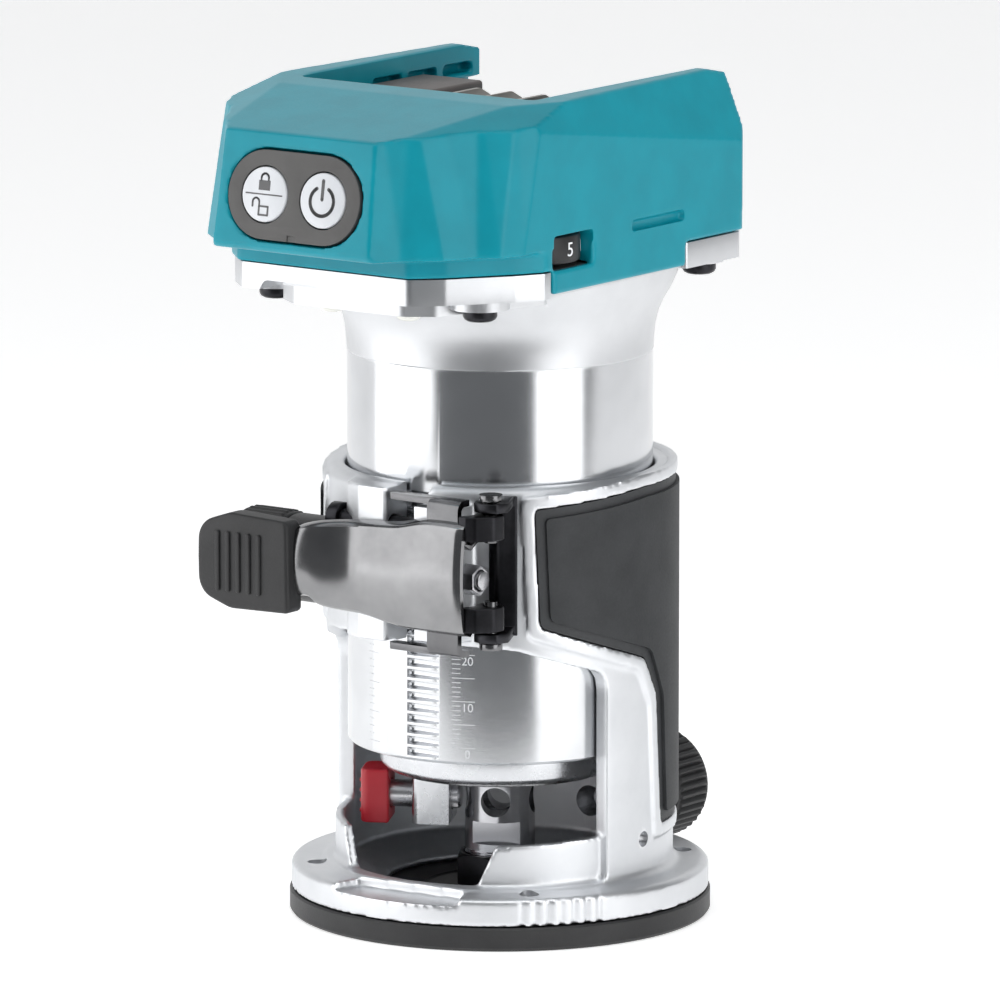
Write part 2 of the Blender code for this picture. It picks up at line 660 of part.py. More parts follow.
def motor_inside():
    """Bearings, the stator and the boards, none of them seen from outside."""
    solid("lower_bearing", turned([(6.3, 42.3), (16.0, 42.3), (16.0, 52.3), (6.3, 52.3)], 24), STEEL)
    solid("upper_bearing", turned([(4.3, 116.3), (11.0, 116.3), (11.0, 123.3), (4.3, 123.3)], 24), STEEL)
    bracket = [
        (11.3, 115.0),
        (28.7, 115.0),
        (28.7, 124.6),
        (25.5, 124.6),
        (25.5, 118.5),
        (15, 118.5),
        (15, 124.0),
        (11.3, 124.0),
    ]
    solid("upper_bearing_bracket", turned(bracket, 32), CAST)
    core = solid("stator_core", turned([(22.6, 72), (28.7, 72), (28.7, 108), (22.6, 108)], 36), STEEL)
    teeth = []
    legs = []
    for k in range(6):
        low, high = 60 * k - 13, 60 * k + 13
        teeth.append(wrapped([(low, 74), (high, 74), (high, 106), (low, 106)], 14.2, 23.6, 13))
        low, high = 60 * k + 16, 60 * k + 44
        legs.append(wrapped([(low, 73), (high, 73), (high, 107), (low, 107)], 15.2, 21.8, 14))
    fuse(core, merged(*teeth), "teeth")
    ring = turned([(15.0, 106.4), (22.0, 106.4), (22.0, 111.0), (15.0, 111.0)], 36)
    coils = solid("stator_coils", ring, COPPER)
    fuse(coils, merged(*legs), "legs")
    solid("controller_board", box((-19, -24, 150.0), (19, 22, 153.0)), BOARD)
    solid("switch_board", box((-15, -54.6, 154.0), (15, -53.0, 164.0)), BOARD)
    for side, name in ((-1, "left"), (1, "right")):
        spot = (side * 10, -46.0)
        solid(f"led_lens_{name}", rod((*spot, 134.9), (*spot, 136.3), 2.6, 16), LENS)


def face_frame():
    """A matrix for the leaning front face: X across, Y up the face, Z straight out of it."""
    lean = math.atan2(FACE_HIGH[0] - FACE_LOW[0], FACE_HIGH[1] - FACE_LOW[1])
    share = (162.6 - FACE_LOW[1]) / (FACE_HIGH[1] - FACE_LOW[1])
    middle = Vector((0, FACE_LOW[0] + share * (FACE_HIGH[0] - FACE_LOW[0]), 162.6))
    return Matrix.Translation(middle) @ Matrix.Rotation(math.pi / 2 - lean, 4, "X")


def obround(half_length, radius, steps=10):
    """A bar outline with round ends."""
    centre = half_length - radius
    right = [-math.pi / 2 + math.pi * k / steps for k in range(steps + 1)]
    ends = [(centre + radius * math.cos(a), radius * math.sin(a)) for a in right]
    return ends + [(-x, -y) for x, y in ends]


def leaning(block, through, slopes):
    """A block whose underside is tilted: it goes through a point, rising by each slope."""
    for v in block.verts:
        if v.co.z == 0:
            x, y = v.co.x - through[0], v.co.y - through[1]
            v.co.z = through[2] + slopes[0] * x + slopes[1] * y
    return block


def flared_block():
    """The head's main block, whose front corners flare out towards the bottom."""
    corners = [
        ((0, -78.0), (0, -78.0)),
        ((19.4, -78.0), (18.6, -78.0)),
        ((20.2, -73.8), (19.3, -70.2)),
        ((24.0, -67.6), (23.6, -64.6)),
        ((30.8, -61.8), (27.6, -59.4)),
        ((34.2, -55.0), (32.2, -52.0)),
        ((38.0, -52.0), (37.4, -46.8)),
        ((HEAD_HALF, -46.6), (HEAD_HALF, -41.0)),
        ((HEAD_HALF, 31.0), (HEAD_HALF, 31.0)),
        ((38.0, HEAD_BACK), (38.0, HEAD_BACK)),
        ((0, HEAD_BACK), (0, HEAD_BACK)),
    ]
    corners += [((-a, b), (-c, d)) for (a, b), (c, d) in corners[-2:0:-1]]
    low_z, high_z, top_z = 150.6, 175.0, 186.0
    bm = slab([low for low, _ in corners], low_z, top_z)
    moves = {low: Vector(high) - Vector(low) for low, high in corners}
    share = (top_z - low_z) / (high_z - low_z)
    for v in bm.verts:
        if v.co.z > high_z:
            nearest = min(moves, key=lambda low: (Vector(low) - v.co.xy).length)
            v.co.xy += moves[nearest] * share
    bmesh.ops.triangulate(bm, faces=bm.faces)
    return bm


def head_cover():
    """The moulded head: button face, sloping deck, and the two rails that take the battery."""
    edge, back = HEAD_HALF - 0.02, HEAD_BACK - 0.02
    half = [(22.0, -62.8), (27.8, -57.2), (36.8, -44.6), (edge, -38.8), (edge, 30.9), (37.9, back)]
    plan = half + [(-x, y) for x, y in half[::-1]]
    head = solid("head_cover", slab(plan, HEAD_BOTTOM, 152.0), TEAL)
    fuse(head, flared_block(), "body")
    deck = [
        (-85, FACE_HIGH[1] - 0.6),
        (FACE_HIGH[0] - 1, FACE_HIGH[1] - 0.6),
        (FACE_HIGH[0] + 1, FACE_HIGH[1] + 0.2),
        DECK_LIP,
        (-24, RAIL_TOP),
        (28, RAIL_TOP),
        (HEAD_BACK + 1, 179.2),
        (HEAD_BACK + 1, 195),
        (-85, 195),
    ]
    cut(head, slab(deck, -50, 50, "X"), "deck")
    slope = (FACE_HIGH[0] - FACE_LOW[0]) / (FACE_HIGH[1] - FACE_LOW[1])
    front = [
        (-90, 140),
        (FACE_LOW[0] + 3.0, 140),
        (FACE_LOW[0] + 0.8, FACE_LOW[1] - 0.6),
        FACE_LOW,
        (FACE_LOW[0] + slope * 40, FACE_LOW[1] + 40),
        (-90, FACE_LOW[1] + 40),
    ]
    cut(head, slab(front, -50, 50, "X"), "front_face")
    sides = leaning(box((30, -90, 0), (60, 60, 220)), (HEAD_HALF, -46, 176.5), (-2.39, -0.139))
    shoulders = leaning(box((4, -90, 0), (60, 60, 200)), (33, -32, 180.7), (-0.2385, 0.2155))
    cut(head, both_sides(sides), "leaning_sides")
    cut(head, both_sides(shoulders), "front_shoulders")
    channel = box((-CHANNEL_HALF, CHANNEL_FRONT, CHANNEL_FLOOR), (CHANNEL_HALF, 60, 200))
    cut(head, channel, "battery_channel")
    groove = box((CHANNEL_HALF - 1, CHANNEL_FRONT + 4, CHANNEL_FLOOR + 0.4), (33.5, 60, 173.2))
    cut(head, both_sides(groove), "rail_grooves")
    slots = [box((CHANNEL_HALF - 1, y, 174.4), (32.0, y + 10.4, 176.6)) for y in (-4.0, 8.6, 21.4)]
    cut(head, both_sides(merged(*slots)), "rail_slots")
    half = [(20.0, -56.0), (25.4, -55.2), (33.8, -44.4), (36.5, -39.6), (36.5, 31.0)]
    cut(head, slab(half + [(-x, y) for x, y in half[::-1]], 140, CAVITY_TOP), "cavity")
    screws = [(s * x, y) for s in (-1, 1) for x, y in (FRONT_SCREW, REAR_SCREW)]
    posts = [rod((*spot, HEAD_BOTTOM), (*spot, CAVITY_TOP + 1), 4.4, 20) for spot in screws]
    fuse(head, merged(*posts), "screw_posts")
    bores = [rod((*spot, 140), (*spot, 156.5), 2.0, 16) for spot in screws]
    cut(head, merged(*bores), "screw_bores")
    skirt = box((38.6, -36.0, 141.2), (HEAD_HALF - 0.01, 12.0, HEAD_BOTTOM + 1))
    fuse(head, both_sides(skirt), "side_skirts")
    cut(head, box((35.5, -36.0, HEAD_BOTTOM - 0.1), (45, -22.0, 153.4)), "dial_window")
    cut(head, box((38.5, -8.0, 151.0), (45, 11.0, 153.4)), "side_slit")
    face = face_frame()
    pocket = slab(obround(17.4, 9.7), -2.6, 8)
    cut(head, placed(pocket, face), "panel_pocket")
    wells = [slab(ring_outline(6.3, 24, 0, (s * BUTTON_X, 0)), -25, 1) for s in (-1, 1)]
    cut(head, placed(merged(*wells), face), "button_wells")


def buttons():
    """The grey bezel on the front face and the two round buttons in it."""
    face = face_frame()
    panel = solid("button_panel", placed(slab(obround(17.0, 9.3), -2.3, 0.3), face), PANEL_GREY)
    holes = [slab(ring_outline(BUTTON_R + 0.3, 24, 0, (s * BUTTON_X, 0)), -5, 5) for s in (-1, 1)]
    cut(panel, placed(merged(*holes), face), "button_holes")
    for name, side in (("lock_button", -1), ("power_button", 1)):
        spot = (side * BUTTON_X, 0)
        body = slab(ring_outline(BUTTON_R, 24, 0, spot), -9.0, 0.6)
        pivot = face @ Vector((*spot, 0))
        solid(name, placed(body, face), BUTTON_GREY, pivot)


def speed_dial():
    """The thumb wheel that sets the speed."""
    pivot = (*DIAL_CENTRE, 149.8)
    rim = DIAL_R - 0.5
    profile = [(2.2, 147.0), (rim, 147.0), (DIAL_R, 147.5), (DIAL_R, 152.4), (rim, 152.9), (2.2, 152.9)]
    place = Matrix.Translation((*DIAL_CENTRE, 0))
    solid("speed_dial", turned(profile, 28, place), BLACK_PLASTIC, pivot)
    solid("dial_axle", rod((*DIAL_CENTRE, 146.4), (*DIAL_CENTRE, 164.2), 1.9, 16), BLACK_PLASTIC)


def battery_terminals():
    """The block between the rails and the three contacts that the battery pushes onto."""
    right = [(29.8, 168.7), (29.8, 176.2), (13.5, 176.2), (13.5, 170.8)]
    shape = right + [(-x, z) for x, z in right[::-1]]
    solid("terminal_block", slab(shape, -28.6, 12.4, "Y"), BLACK_PLASTIC)
    for name, x, width in (("negative", -8.5, 1.2), ("signal", 0.0, 0.8), ("positive", 8.5, 1.2)):
        blade = box((x - width / 2, -26, 171.1), (x + width / 2, 8.0, 177.8))
        solid(f"terminal_{name}", blade, COPPER)


def flange_screws():
    """Four screws from below that hold the head to the flange."""
    spots = [(s, *spot) for spot in ((FRONT_SCREW, 138.2), (REAR_SCREW, 139.4)) for s in (-1, 1)]
    for k, (side, (x, y), seat) in enumerate(spots):
        low = seat - GAP
        head = [(0, low - 2.3), (2.6, low - 2.3), (3.6, low - 1.3), (3.6, low)]
        profile = head + [(1.8, low), (1.8, 156.0), (0, 156.0)]
        place = Matrix.Translation((side * x, y, 0))
        solid(f"flange_screw_{k + 1}", turned(profile, 16, place), BLACK_STEEL)


sub_base()
base_casting()
grips()
guide_screw()
depth_adjuster()
clamp()
clamp_lever()
motor_housing()
bearing_cap()
shaft_lock()
spindle_group()
motor_inside()
head_cover()
buttons()
speed_dial()
battery_terminals()
flange_screws()
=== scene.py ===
"""Cordless trim router with its battery off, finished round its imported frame.

Shapes are drawn in millimetres from the spindle axis: -Y is the front with the two
buttons, +X the side with the speed dial, and angles run from the front towards +X.
"""

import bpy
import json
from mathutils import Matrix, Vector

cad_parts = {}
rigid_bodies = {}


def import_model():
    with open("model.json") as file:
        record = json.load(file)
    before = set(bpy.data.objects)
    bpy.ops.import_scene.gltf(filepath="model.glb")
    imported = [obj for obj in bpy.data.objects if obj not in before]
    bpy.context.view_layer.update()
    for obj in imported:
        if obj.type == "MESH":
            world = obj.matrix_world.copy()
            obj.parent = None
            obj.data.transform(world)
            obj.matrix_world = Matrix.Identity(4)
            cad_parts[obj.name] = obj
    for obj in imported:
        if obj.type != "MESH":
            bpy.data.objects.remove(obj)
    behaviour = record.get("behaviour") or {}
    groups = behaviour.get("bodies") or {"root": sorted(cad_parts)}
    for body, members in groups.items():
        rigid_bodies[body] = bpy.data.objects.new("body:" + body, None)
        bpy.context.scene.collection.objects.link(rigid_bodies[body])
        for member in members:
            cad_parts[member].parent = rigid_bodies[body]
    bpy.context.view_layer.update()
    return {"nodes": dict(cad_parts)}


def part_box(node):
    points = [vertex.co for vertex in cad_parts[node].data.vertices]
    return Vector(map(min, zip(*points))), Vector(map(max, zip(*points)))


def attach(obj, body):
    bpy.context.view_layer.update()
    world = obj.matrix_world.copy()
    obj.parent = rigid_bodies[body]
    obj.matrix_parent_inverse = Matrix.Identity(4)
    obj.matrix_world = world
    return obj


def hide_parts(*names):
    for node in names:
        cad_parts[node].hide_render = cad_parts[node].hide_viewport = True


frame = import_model()

import json
import math

import bmesh
import bpy
from mathutils import Matrix, Vector

for spare in [o for o in bpy.data.objects if o.name in ("Cube", "Light", "Camera")]:
    bpy.data.objects.remove(spare)

# Sub-base: a flat ring of black moulded plastic that slides on the work. Four steel
# countersunk screws hold it from below.


def turned(profile, steps=128, start=None):
    """A closed (radius, height) profile turned once round Z, then placed by a matrix."""
    bm = bmesh.new()
    ring = [bm.verts.new((r, 0, z)) for r, z in profile]
    edges = [bm.edges.new(pair) for pair in zip(ring, ring[1:] + ring[:1])]
    bmesh.ops.spin(bm, geom=ring + edges, axis=(0, 0, 1), angle=math.tau, steps=steps, use_merge=True)
    bmesh.ops.remove_doubles(bm, verts=bm.verts, dist=1e-4)
    return facing_out(bm, start)


def facing_out(bm, start=None):
    """The same closed shape with its faces outwards, placed by a matrix if one is given."""
    if start is not None:
        bmesh.ops.transform(bm, matrix=start, verts=bm.verts)
    bmesh.ops.recalc_face_normals(bm, faces=bm.faces)
    if bm.calc_volume(signed=True) < 0:
        bmesh.ops.reverse_faces(bm, faces=bm.faces)
    return bm


def softened(bm, width, segments=2, angle=32):
    """Every edge sharper than the angle gets a round of that width."""
    bmesh.ops.dissolve_degenerate(bm, dist=1e-4, edges=bm.edges)
    sharp = [e for e in bm.edges if len(e.link_faces) == 2 and e.calc_face_angle() > math.radians(angle)]
    bmesh.ops.bevel(
        bm, geom=sharp, offset=width, segments=segments, profile=0.6, affect="EDGES", clamp_overlap=True
    )
    return bm


spindle_low, spindle_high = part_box("spindle")
to_frame = Matrix.Translation((0, (spindle_low.y + spindle_high.y) / 2, 0)) @ Matrix.Scale(0.001, 4)


def piece(name, bm, finish, body, stands_for=(), angle=30):
    """A shape in millimetres becomes a piece of the router on one of its bodies."""
    bmesh.ops.transform(bm, matrix=to_frame, verts=bm.verts)
    mesh = bpy.data.meshes.new(name)
    bm.to_mesh(mesh)
    bm.free()
    mesh.shade_smooth()
    mesh.set_sharp_from_angle(angle=math.radians(angle))
    mesh.materials.append(finish)
    made = bpy.data.objects.new(name, mesh)
    bpy.context.scene.collection.objects.link(made)
    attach(made, body)
    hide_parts(*stands_for)


def refinished(names, finish, width=0.15):
    """Frame solids that keep their shape: a better finish and a small round on each edge."""
    for name in names:
        node = frame["nodes"][name]
        node.data.materials.clear()
        node.data.materials.append(finish)
        weld = node.modifiers.new("weld", "WELD")
        weld.merge_threshold = 1e-5
        edge = node.modifiers.new("edge", "BEVEL")
        edge.width = width / 1000
        edge.segments = 2
        edge.limit_method = "ANGLE"
        edge.angle_limit = math.radians(40)
        node.data.shade_smooth()


class Value:
    """One value in a material. Sums written on it become Math nodes."""

    def __init__(self, tree, socket):
        self.tree = tree
        self.socket = socket

    def node(self, kind, inputs, output=0, stops=(), **settings):
        """Adds a node of any type: its settings first, then its sockets' values or links."""
        made = self.tree.nodes.new(kind)
        for key, value in settings.items():
            setattr(made, key, value)
        for k, (position, shade) in enumerate(stops):
            ramp = made.color_ramp.elements
            stop = ramp[k] if k < len(ramp) else ramp.new(position)
            stop.position = position
            stop.color = (shade, shade, shade, 1)
        for key, value in inputs.items():
            if isinstance(value, Value):
                self.tree.links.new(value.socket, made.inputs[key])
            else:
                made.inputs[key].default_value = value
        return Value(self.tree, made.outputs[output])

    def sum(self, operation, first, second):
        return self.node("ShaderNodeMath", {0: first, 1: second}, operation=operation)

    def __add__(self, other):
        return self.sum("ADD", self, other)

    def __radd__(self, other):
        return self.sum("ADD", other, self)

    def __sub__(self, other):
        return self.sum("SUBTRACT", self, other)

    def __rsub__(self, other):
        return self.sum("SUBTRACT", other, self)

    def __mul__(self, other):
        return self.sum("MULTIPLY", self, other)

    def __rmul__(self, other):
        return self.sum("MULTIPLY", other, self)

    def noise(self, size, detail=3.0, roughness=0.5):
        """Cloudy noise with features of that size, in millimetres."""
        sockets = {"Vector": self, "Scale": 1000 / size, "Detail": detail, "Roughness": roughness}
        return self.node("ShaderNodeTexNoise", sockets)

    def ramp(self, *stops):
        return self.node("ShaderNodeValToRGB", {"Fac": self}, stops=stops)

    def shades(self, dark, light):
        """A colour between two, by this value."""
        sockets = {0: self, 6: (*dark, 1), 7: (*light, 1)}
        return self.node("ShaderNodeMix", sockets, output=2, data_type="RGBA")

    def stretched(self, x, y, z):
        """These coordinates, each multiplied by its own amount."""
        return self.node("ShaderNodeVectorMath", {0: self, 1: (x, y, z)}, operation="MULTIPLY")

    def bump(self, depth):
        """A normal from this height, with that depth in millimetres."""
        return self.node("ShaderNodeBump", {"Height": self, "Distance": depth / 1000})


def finish_of(name, **constants):
    """A new material: itself, its place in the piece, its edges, and a way to link its sockets."""
    made = bpy.data.materials.new(name)
    made.use_nodes = True
    tree = made.node_tree
    shader = tree.nodes["Principled BSDF"]
    for key, value in constants.items():
        shader.inputs[key.replace("_", " ").title()].default_value = value
    start = Value(tree, None)
    where = start.node("ShaderNodeTexCoord", {}, output=3)
    edges = start.node("ShaderNodeNewGeometry", {}, output=7)

    def link(**values):
        for key, value in values.items():
            tree.links.new(value.socket, shader.inputs[key.replace("_", " ").title()])

    return made, where, edges, link


def moulded(name, dark, light, rough=(0.42, 0.6), grain=0.35, depth=0.03):
    """Moulded plastic: a fine spark-eroded grain, slightly uneven colour and paler, smoother edges."""
    made, where, edges, link = finish_of(name, metallic=0.0)
    tone = where.noise(9, 4).ramp((0.35, 0.0), (0.65, 1.0))
    worn = edges.ramp((0.52, 0.0), (0.6, 1.0))
    fine = where.noise(grain, 2, 0.6)
    link(base_color=(tone * 0.7 + worn * 0.5).shades(dark, light))
    link(roughness=rough[0] + (rough[1] - rough[0]) * fine - worn * 0.08)
    link(normal=(fine + where.noise(grain * 3, 2) * 0.5).bump(depth))
    return made


black_plastic = moulded("black_plastic", (0.011, 0.011, 0.012), (0.022, 0.022, 0.023))

screw_circle = 39.5
screw_turns = (45, 135, 225, 315)
ring = [(16.0, 0.6), (16.6, 0), (44.1, 0), (44.6, 0.25), (45, 0.8), (45, 4.7), (44.6, 5.1)]
ring += [(16.4, 5.1), (16.0, 4.7)]
sub_base = turned(ring, 160)


def boolean(bm, operation, other):
    """One shape cut from, added to or kept inside another."""
    holders = []
    for shape in (bm, other):
        mesh = bpy.data.meshes.new("work")
        shape.to_mesh(mesh)
        shape.free()
        holders.append(bpy.data.objects.new("work", mesh))
        bpy.context.scene.collection.objects.link(holders[-1])
    change = holders[0].modifiers.new("work", "BOOLEAN")
    change.operation = operation
    change.object = holders[1]
    change.use_self = operation == "UNION"
    graph = bpy.context.evaluated_depsgraph_get()
    result = bmesh.new()
    result.from_mesh(holders[0].evaluated_get(graph).to_mesh())
    for holder in holders:
        bpy.data.meshes.remove(holder.data)
    return result


def around(radius, degrees, z):
    """A point at an angle round the spindle."""
    turn = math.radians(degrees)
    return Vector((radius * math.sin(turn), -radius * math.cos(turn), z))


def together(*shapes):
    """Several shapes in one mesh."""
    whole = bmesh.new()
    for shape in shapes:
        mesh = bpy.data.meshes.new("work")
        shape.to_mesh(mesh)
        shape.free()
        whole.from_mesh(mesh)
        bpy.data.meshes.remove(mesh)
    return whole


def seat(degrees):
    """A countersunk seat for one of the screws."""
    profile = [(0, -1), (4.1, -1), (3.9, 0.2), (3.9, 1.9), (2.1, 3.6), (2.1, 8), (0, 8)]
    return turned(profile, 32, Matrix.Translation(around(screw_circle, degrees, 0)))


sub_base = boolean(sub_base, "DIFFERENCE", together(*[seat(turn) for turn in screw_turns]))
piece("sole_ring", sub_base, black_plastic, "base", ["sub_base"])


def metal(name, dark, light, rough, grain=0.3, depth=0.004):
    """Bare or plated metal: faint marks in its gloss, a fine tooth, and bright edges."""
    made, where, edges, link = finish_of(name, metallic=1.0)
    cloud = where.noise(6, 5, 0.6).ramp((0.3, 0.0), (0.7, 1.0))
    worn = edges.ramp((0.52, 0.0), (0.58, 1.0))
    fine = where.noise(grain, 3, 0.6)
    link(base_color=(cloud * 0.6 + worn * 0.5).shades(dark, light))
    link(roughness=rough[0] + (rough[1] - rough[0]) * (cloud * 0.5 + fine * 0.5))
    link(normal=fine.bump(depth))
    return made


steel = metal("bright_steel", (0.5, 0.5, 0.52), (0.66, 0.66, 0.68), (0.2, 0.38))
refinished([f"sub_base_screw_{k}" for k in (1, 2, 3, 4)], steel)

# Base casting: one aluminium casting, blasted all over and machined in its bore. It is the
# disc, the open column with its chip guards, and the collar with the two ears that clamp it.


def slab(outline, low, high, axis="Z"):
    """An outline pushed along an axis. It lies in XY for Z, in XZ for Y and in YZ for X."""
    order = {"Z": (0, 1, 2), "Y": (0, 2, 1), "X": (2, 0, 1)}[axis]
    bm = bmesh.new()
    rings = [[bm.verts.new([(a, b, c)[k] for k in order]) for a, b in outline] for c in (low, high)]
    bm.faces.new(rings[0])
    bm.faces.new(rings[1])
    for k in range(len(outline)):
        bm.faces.new((rings[0][k - 1], rings[0][k], rings[1][k], rings[1][k - 1]))
    return facing_out(bm)


def wrapped(outline, inner, outer, step=2.0):
    """A patch of a tube's wall between two radii, from an outline in (degrees, height)."""
    bm = slab(outline, inner, outer, "Y")
    low, high = min(a for a, _ in outline), max(a for a, _ in outline)
    for k in range(math.floor(low / step) + 1, math.ceil(high / step)):
        geom = bm.verts[:] + bm.edges[:] + bm.faces[:]
        bmesh.ops.bisect_plane(bm, geom=geom, plane_co=(k * step, 0, 0), plane_no=(1, 0, 0), dist=1e-5)
    for v in bm.verts:
        v.co = around(v.co.y, v.co.x, v.co.z)
    return facing_out(bm)


def rounded(corners, steps=6):
    """An outline through (a, b, radius) corners, each rounded to its radius."""
    points = []
    for k, (a, b, radius) in enumerate(corners):
        here = Vector((a, b))
        before = Vector(corners[k - 1][:2]) - here
        after = Vector(corners[(k + 1) % len(corners)][:2]) - here
        if radius == 0:
            points.append((a, b))
            continue
        half = before.angle(after) / 2
        reach = radius / math.tan(half)
        middle = here + (before.normalized() + after.normalized()).normalized() * radius / math.sin(half)
        first = here + before.normalized() * reach - middle
        last = here + after.normalized() * reach - middle
        sweep = first.angle_signed(last)
        for i in range(steps + 1):
            spoke = first.copy()
            spoke.rotate(Matrix.Rotation(-sweep * i / steps, 2))
            points.append(tuple(middle + spoke))
    return points


def rod(start, end, radius, sides=32):
    """A round bar between two points."""
    start, end = Vector(start), Vector(end)
    bm = bmesh.new()
    length = (end - start).length
    bmesh.ops.create_cone(bm, cap_ends=True, segments=sides, radius1=radius, radius2=radius, depth=length)
    turn = (end - start).to_track_quat("Z", "Y").to_matrix().to_4x4()
    return facing_out(bm, Matrix.Translation((start + end) / 2) @ turn)


def block(low, high):
    """A block between two corners."""
    bm = bmesh.new()
    bmesh.ops.create_cube(bm, size=1)
    size, middle = Vector(high) - Vector(low), (Vector(high) + Vector(low)) / 2
    return facing_out(bm, Matrix.Translation(middle) @ Matrix.Diagonal((*size, 1)))


def both_sides(bm):
    """A shape and its mirror image across x = 0."""
    copy = bm.copy()
    bmesh.ops.transform(copy, matrix=Matrix.Scale(-1, 4, (1, 0, 0)), verts=copy.verts)
    return together(bm, facing_out(copy))


def cast(bm, voxel, passes, share):
    """A casting's soft edges: the shape is remade of small even faces, eased, and thinned again."""
    mesh = bpy.data.meshes.new("work")
    bm.to_mesh(mesh)
    bm.free()
    holder = bpy.data.objects.new("work", mesh)
    bpy.context.scene.collection.objects.link(holder)
    remesh = holder.modifiers.new("even", "REMESH")
    remesh.mode = "VOXEL"
    remesh.voxel_size = voxel
    ease = holder.modifiers.new("ease", "SMOOTH")
    ease.iterations = passes
    ease.factor = 0.5
    thin = holder.modifiers.new("thin", "DECIMATE")
    thin.ratio = share
    graph = bpy.context.evaluated_depsgraph_get()
    result = bmesh.new()
    result.from_mesh(holder.evaluated_get(graph).to_mesh())
    bpy.data.meshes.remove(mesh)
    return result


profile = [(24.0, 5.4), (44.6, 5.4), (44.6, 10.4), (44.2, 10.9), (43.4, 11.2), (38.4, 11.2), (37.5, 11.6)]
profile += [(37.0, 12.6), (37.0, 95.4), (36.7, 96.5), (36.0, 97.3), (35.0, 97.6), (33.6, 97.6), (33.0, 97.0)]
profile += [(33.0, 10.6), (24.0, 6.7)]
casting = turned(profile, 180)

arch = [(-20, 64.0, 0), (20, 64.0, 0), (41, 62.9, 6), (62, 58.8, 4), (73.5, 56.6, 5)]
arch += [(73.5, 11.9, 2.5), (-73.5, 11.9, 2.5), (-73.5, 56.6, 5), (-62, 58.8, 4), (-41, 62.9, 6)]
casting = boolean(casting, "DIFFERENCE", wrapped(rounded(arch), 30, 42))

# A raised lip runs round each grip's pocket, with a fine groove between the lip and the
# collar's edge. One degree is about 0.646 mm along the wall there.
degree = 0.646
grip = [(47.6, 92.8, 1.2), (49.4, 67.9, 2.0), (91.0, 58.8, 5.0), (98.6, 49.0, 4.0), (101.5, 22.0, 1.5)]
grip += [(160.0, 22.0, 2.0), (160.0, 95.2, 2.0), (90.0, 95.2, 0)]


def grown(corners, by):
    """An outline in (degrees, height, radius) moved outwards by about the same distance all round."""
    points = []
    for k, (a, b, radius) in enumerate(corners):
        sides = (corners[k - 1], (a, b)), ((a, b), corners[(k + 1) % len(corners)])
        along = [Vector(((q[0] - p[0]) * degree, q[1] - p[1])).normalized() for p, q in sides]
        out = [Vector((-d.y, d.x)) for d in along]
        mitre = (out[0] + out[1]) / (1 + out[0].dot(out[1]))
        points.append((a - mitre.x * by / degree, b - mitre.y * by, radius))
    return points


lip = both_sides(wrapped(rounded(grown(grip, 3.0)), 36.2, 37.8))
casting = boolean(casting, "UNION", lip)
casting = boolean(casting, "DIFFERENCE", both_sides(wrapped(rounded(grown(grip, 0.3)), 35.4, 42)))

guard = [(26.5, 10.0, 0), (75, 10.0, 0), (75, 21.4, 0), (34.5, 20.4, 1.2)]
casting = boolean(casting, "UNION", both_sides(wrapped(rounded(guard), 33.2, 35.2)))
left_ear = [(0, -33.4), (0, -40.4), (-0.4, -41), (-7, -41), (-11.5, -39.2), (-13.5, -34.2), (-12, -31.8)]
casting = boolean(casting, "UNION", slab(left_ear, 64.2, 97.2))
right_ear = [(7.5, -33), (17, -30), (17, -39.2), (15.6, -41), (7.5, -41)]
casting = boolean(casting, "UNION", slab(right_ear, 65.2, 94.4))
guide_height = 17.6
guide_boss = rod((0, 34.5, guide_height), (0, 47.2, guide_height), 7.0, 48)
casting = boolean(casting, "UNION", guide_boss)
casting = boolean(casting, "DIFFERENCE", block((0, -50, 60), (7.5, -30, 104)))

# The front of the rim is lower, and fine V-grooves at both sides of it help the hand to turn it.
front_rim = ((38.0, -16), (46, -16), (46.5, 4), (46, 24.5), (38.0, 24.5))
low_front = slab([around(radius, turn, 0).xy for radius, turn in front_rim], 9.5, 15)
casting = boolean(casting, "DIFFERENCE", low_front)
notches = []
for k in range(7):
    turn = 42 + 3.7 * k
    corners = [around(43.2, turn, 0), around(45.4, turn + 1.2, 0), around(45.4, turn - 1.2, 0)]
    notches.append(slab([c.xy for c in corners], 4, 13))
casting = boolean(casting, "DIFFERENCE", both_sides(together(*notches)))
casting = cast(casting, 0.5, 3, 0.52)

taps = [rod(around(screw_circle, turn, 4), around(screw_circle, turn, 14), 2.1) for turn in screw_turns]
pinion_at = (-36.334, 79)
bores = [rod((-40, *pinion_at), (30, *pinion_at), 2.4), rod((-30, -38, 89), (30, -38, 89), 2.2)]
bores += [rod((0, 25, guide_height), (0, 60, guide_height), 3.4), rod((-50, 0.9, 19.3), (50, 0.9, 19.3), 1.7)]
casting = boolean(casting, "DIFFERENCE", together(*taps, *bores))

cast_silver, where, edges, link = finish_of("cast_silver", metallic=1.0)
blast = where.noise(0.28, 3, 0.65)
cloud = where.noise(14, 4, 0.6).ramp((0.3, 0.0), (0.7, 1.0))
rubbed = edges.ramp((0.51, 0.0), (0.56, 1.0))
link(base_color=(cloud * 0.6 + rubbed * 0.4).shades((0.70, 0.715, 0.735), (0.82, 0.83, 0.85)))
link(roughness=0.34 + blast * 0.16 - rubbed * 0.08)
link(normal=blast.bump(0.02))
piece("casting", casting, cast_silver, "base", ["base_casting"])

# Grips: soft dark rubber moulded into the pockets on both sides. Each has a thin border and
# a raised pad with rounded edges, and a fine groove runs between the two.

rubber = moulded("grip_rubber", (0.022, 0.024, 0.026), (0.036, 0.038, 0.041), (0.55, 0.75), 0.5, 0.03)


def other_side(bm):
    """The mirror image of a shape across x = 0."""
    return facing_out(bm, Matrix.Scale(-1, 4, (1, 0, 0)))


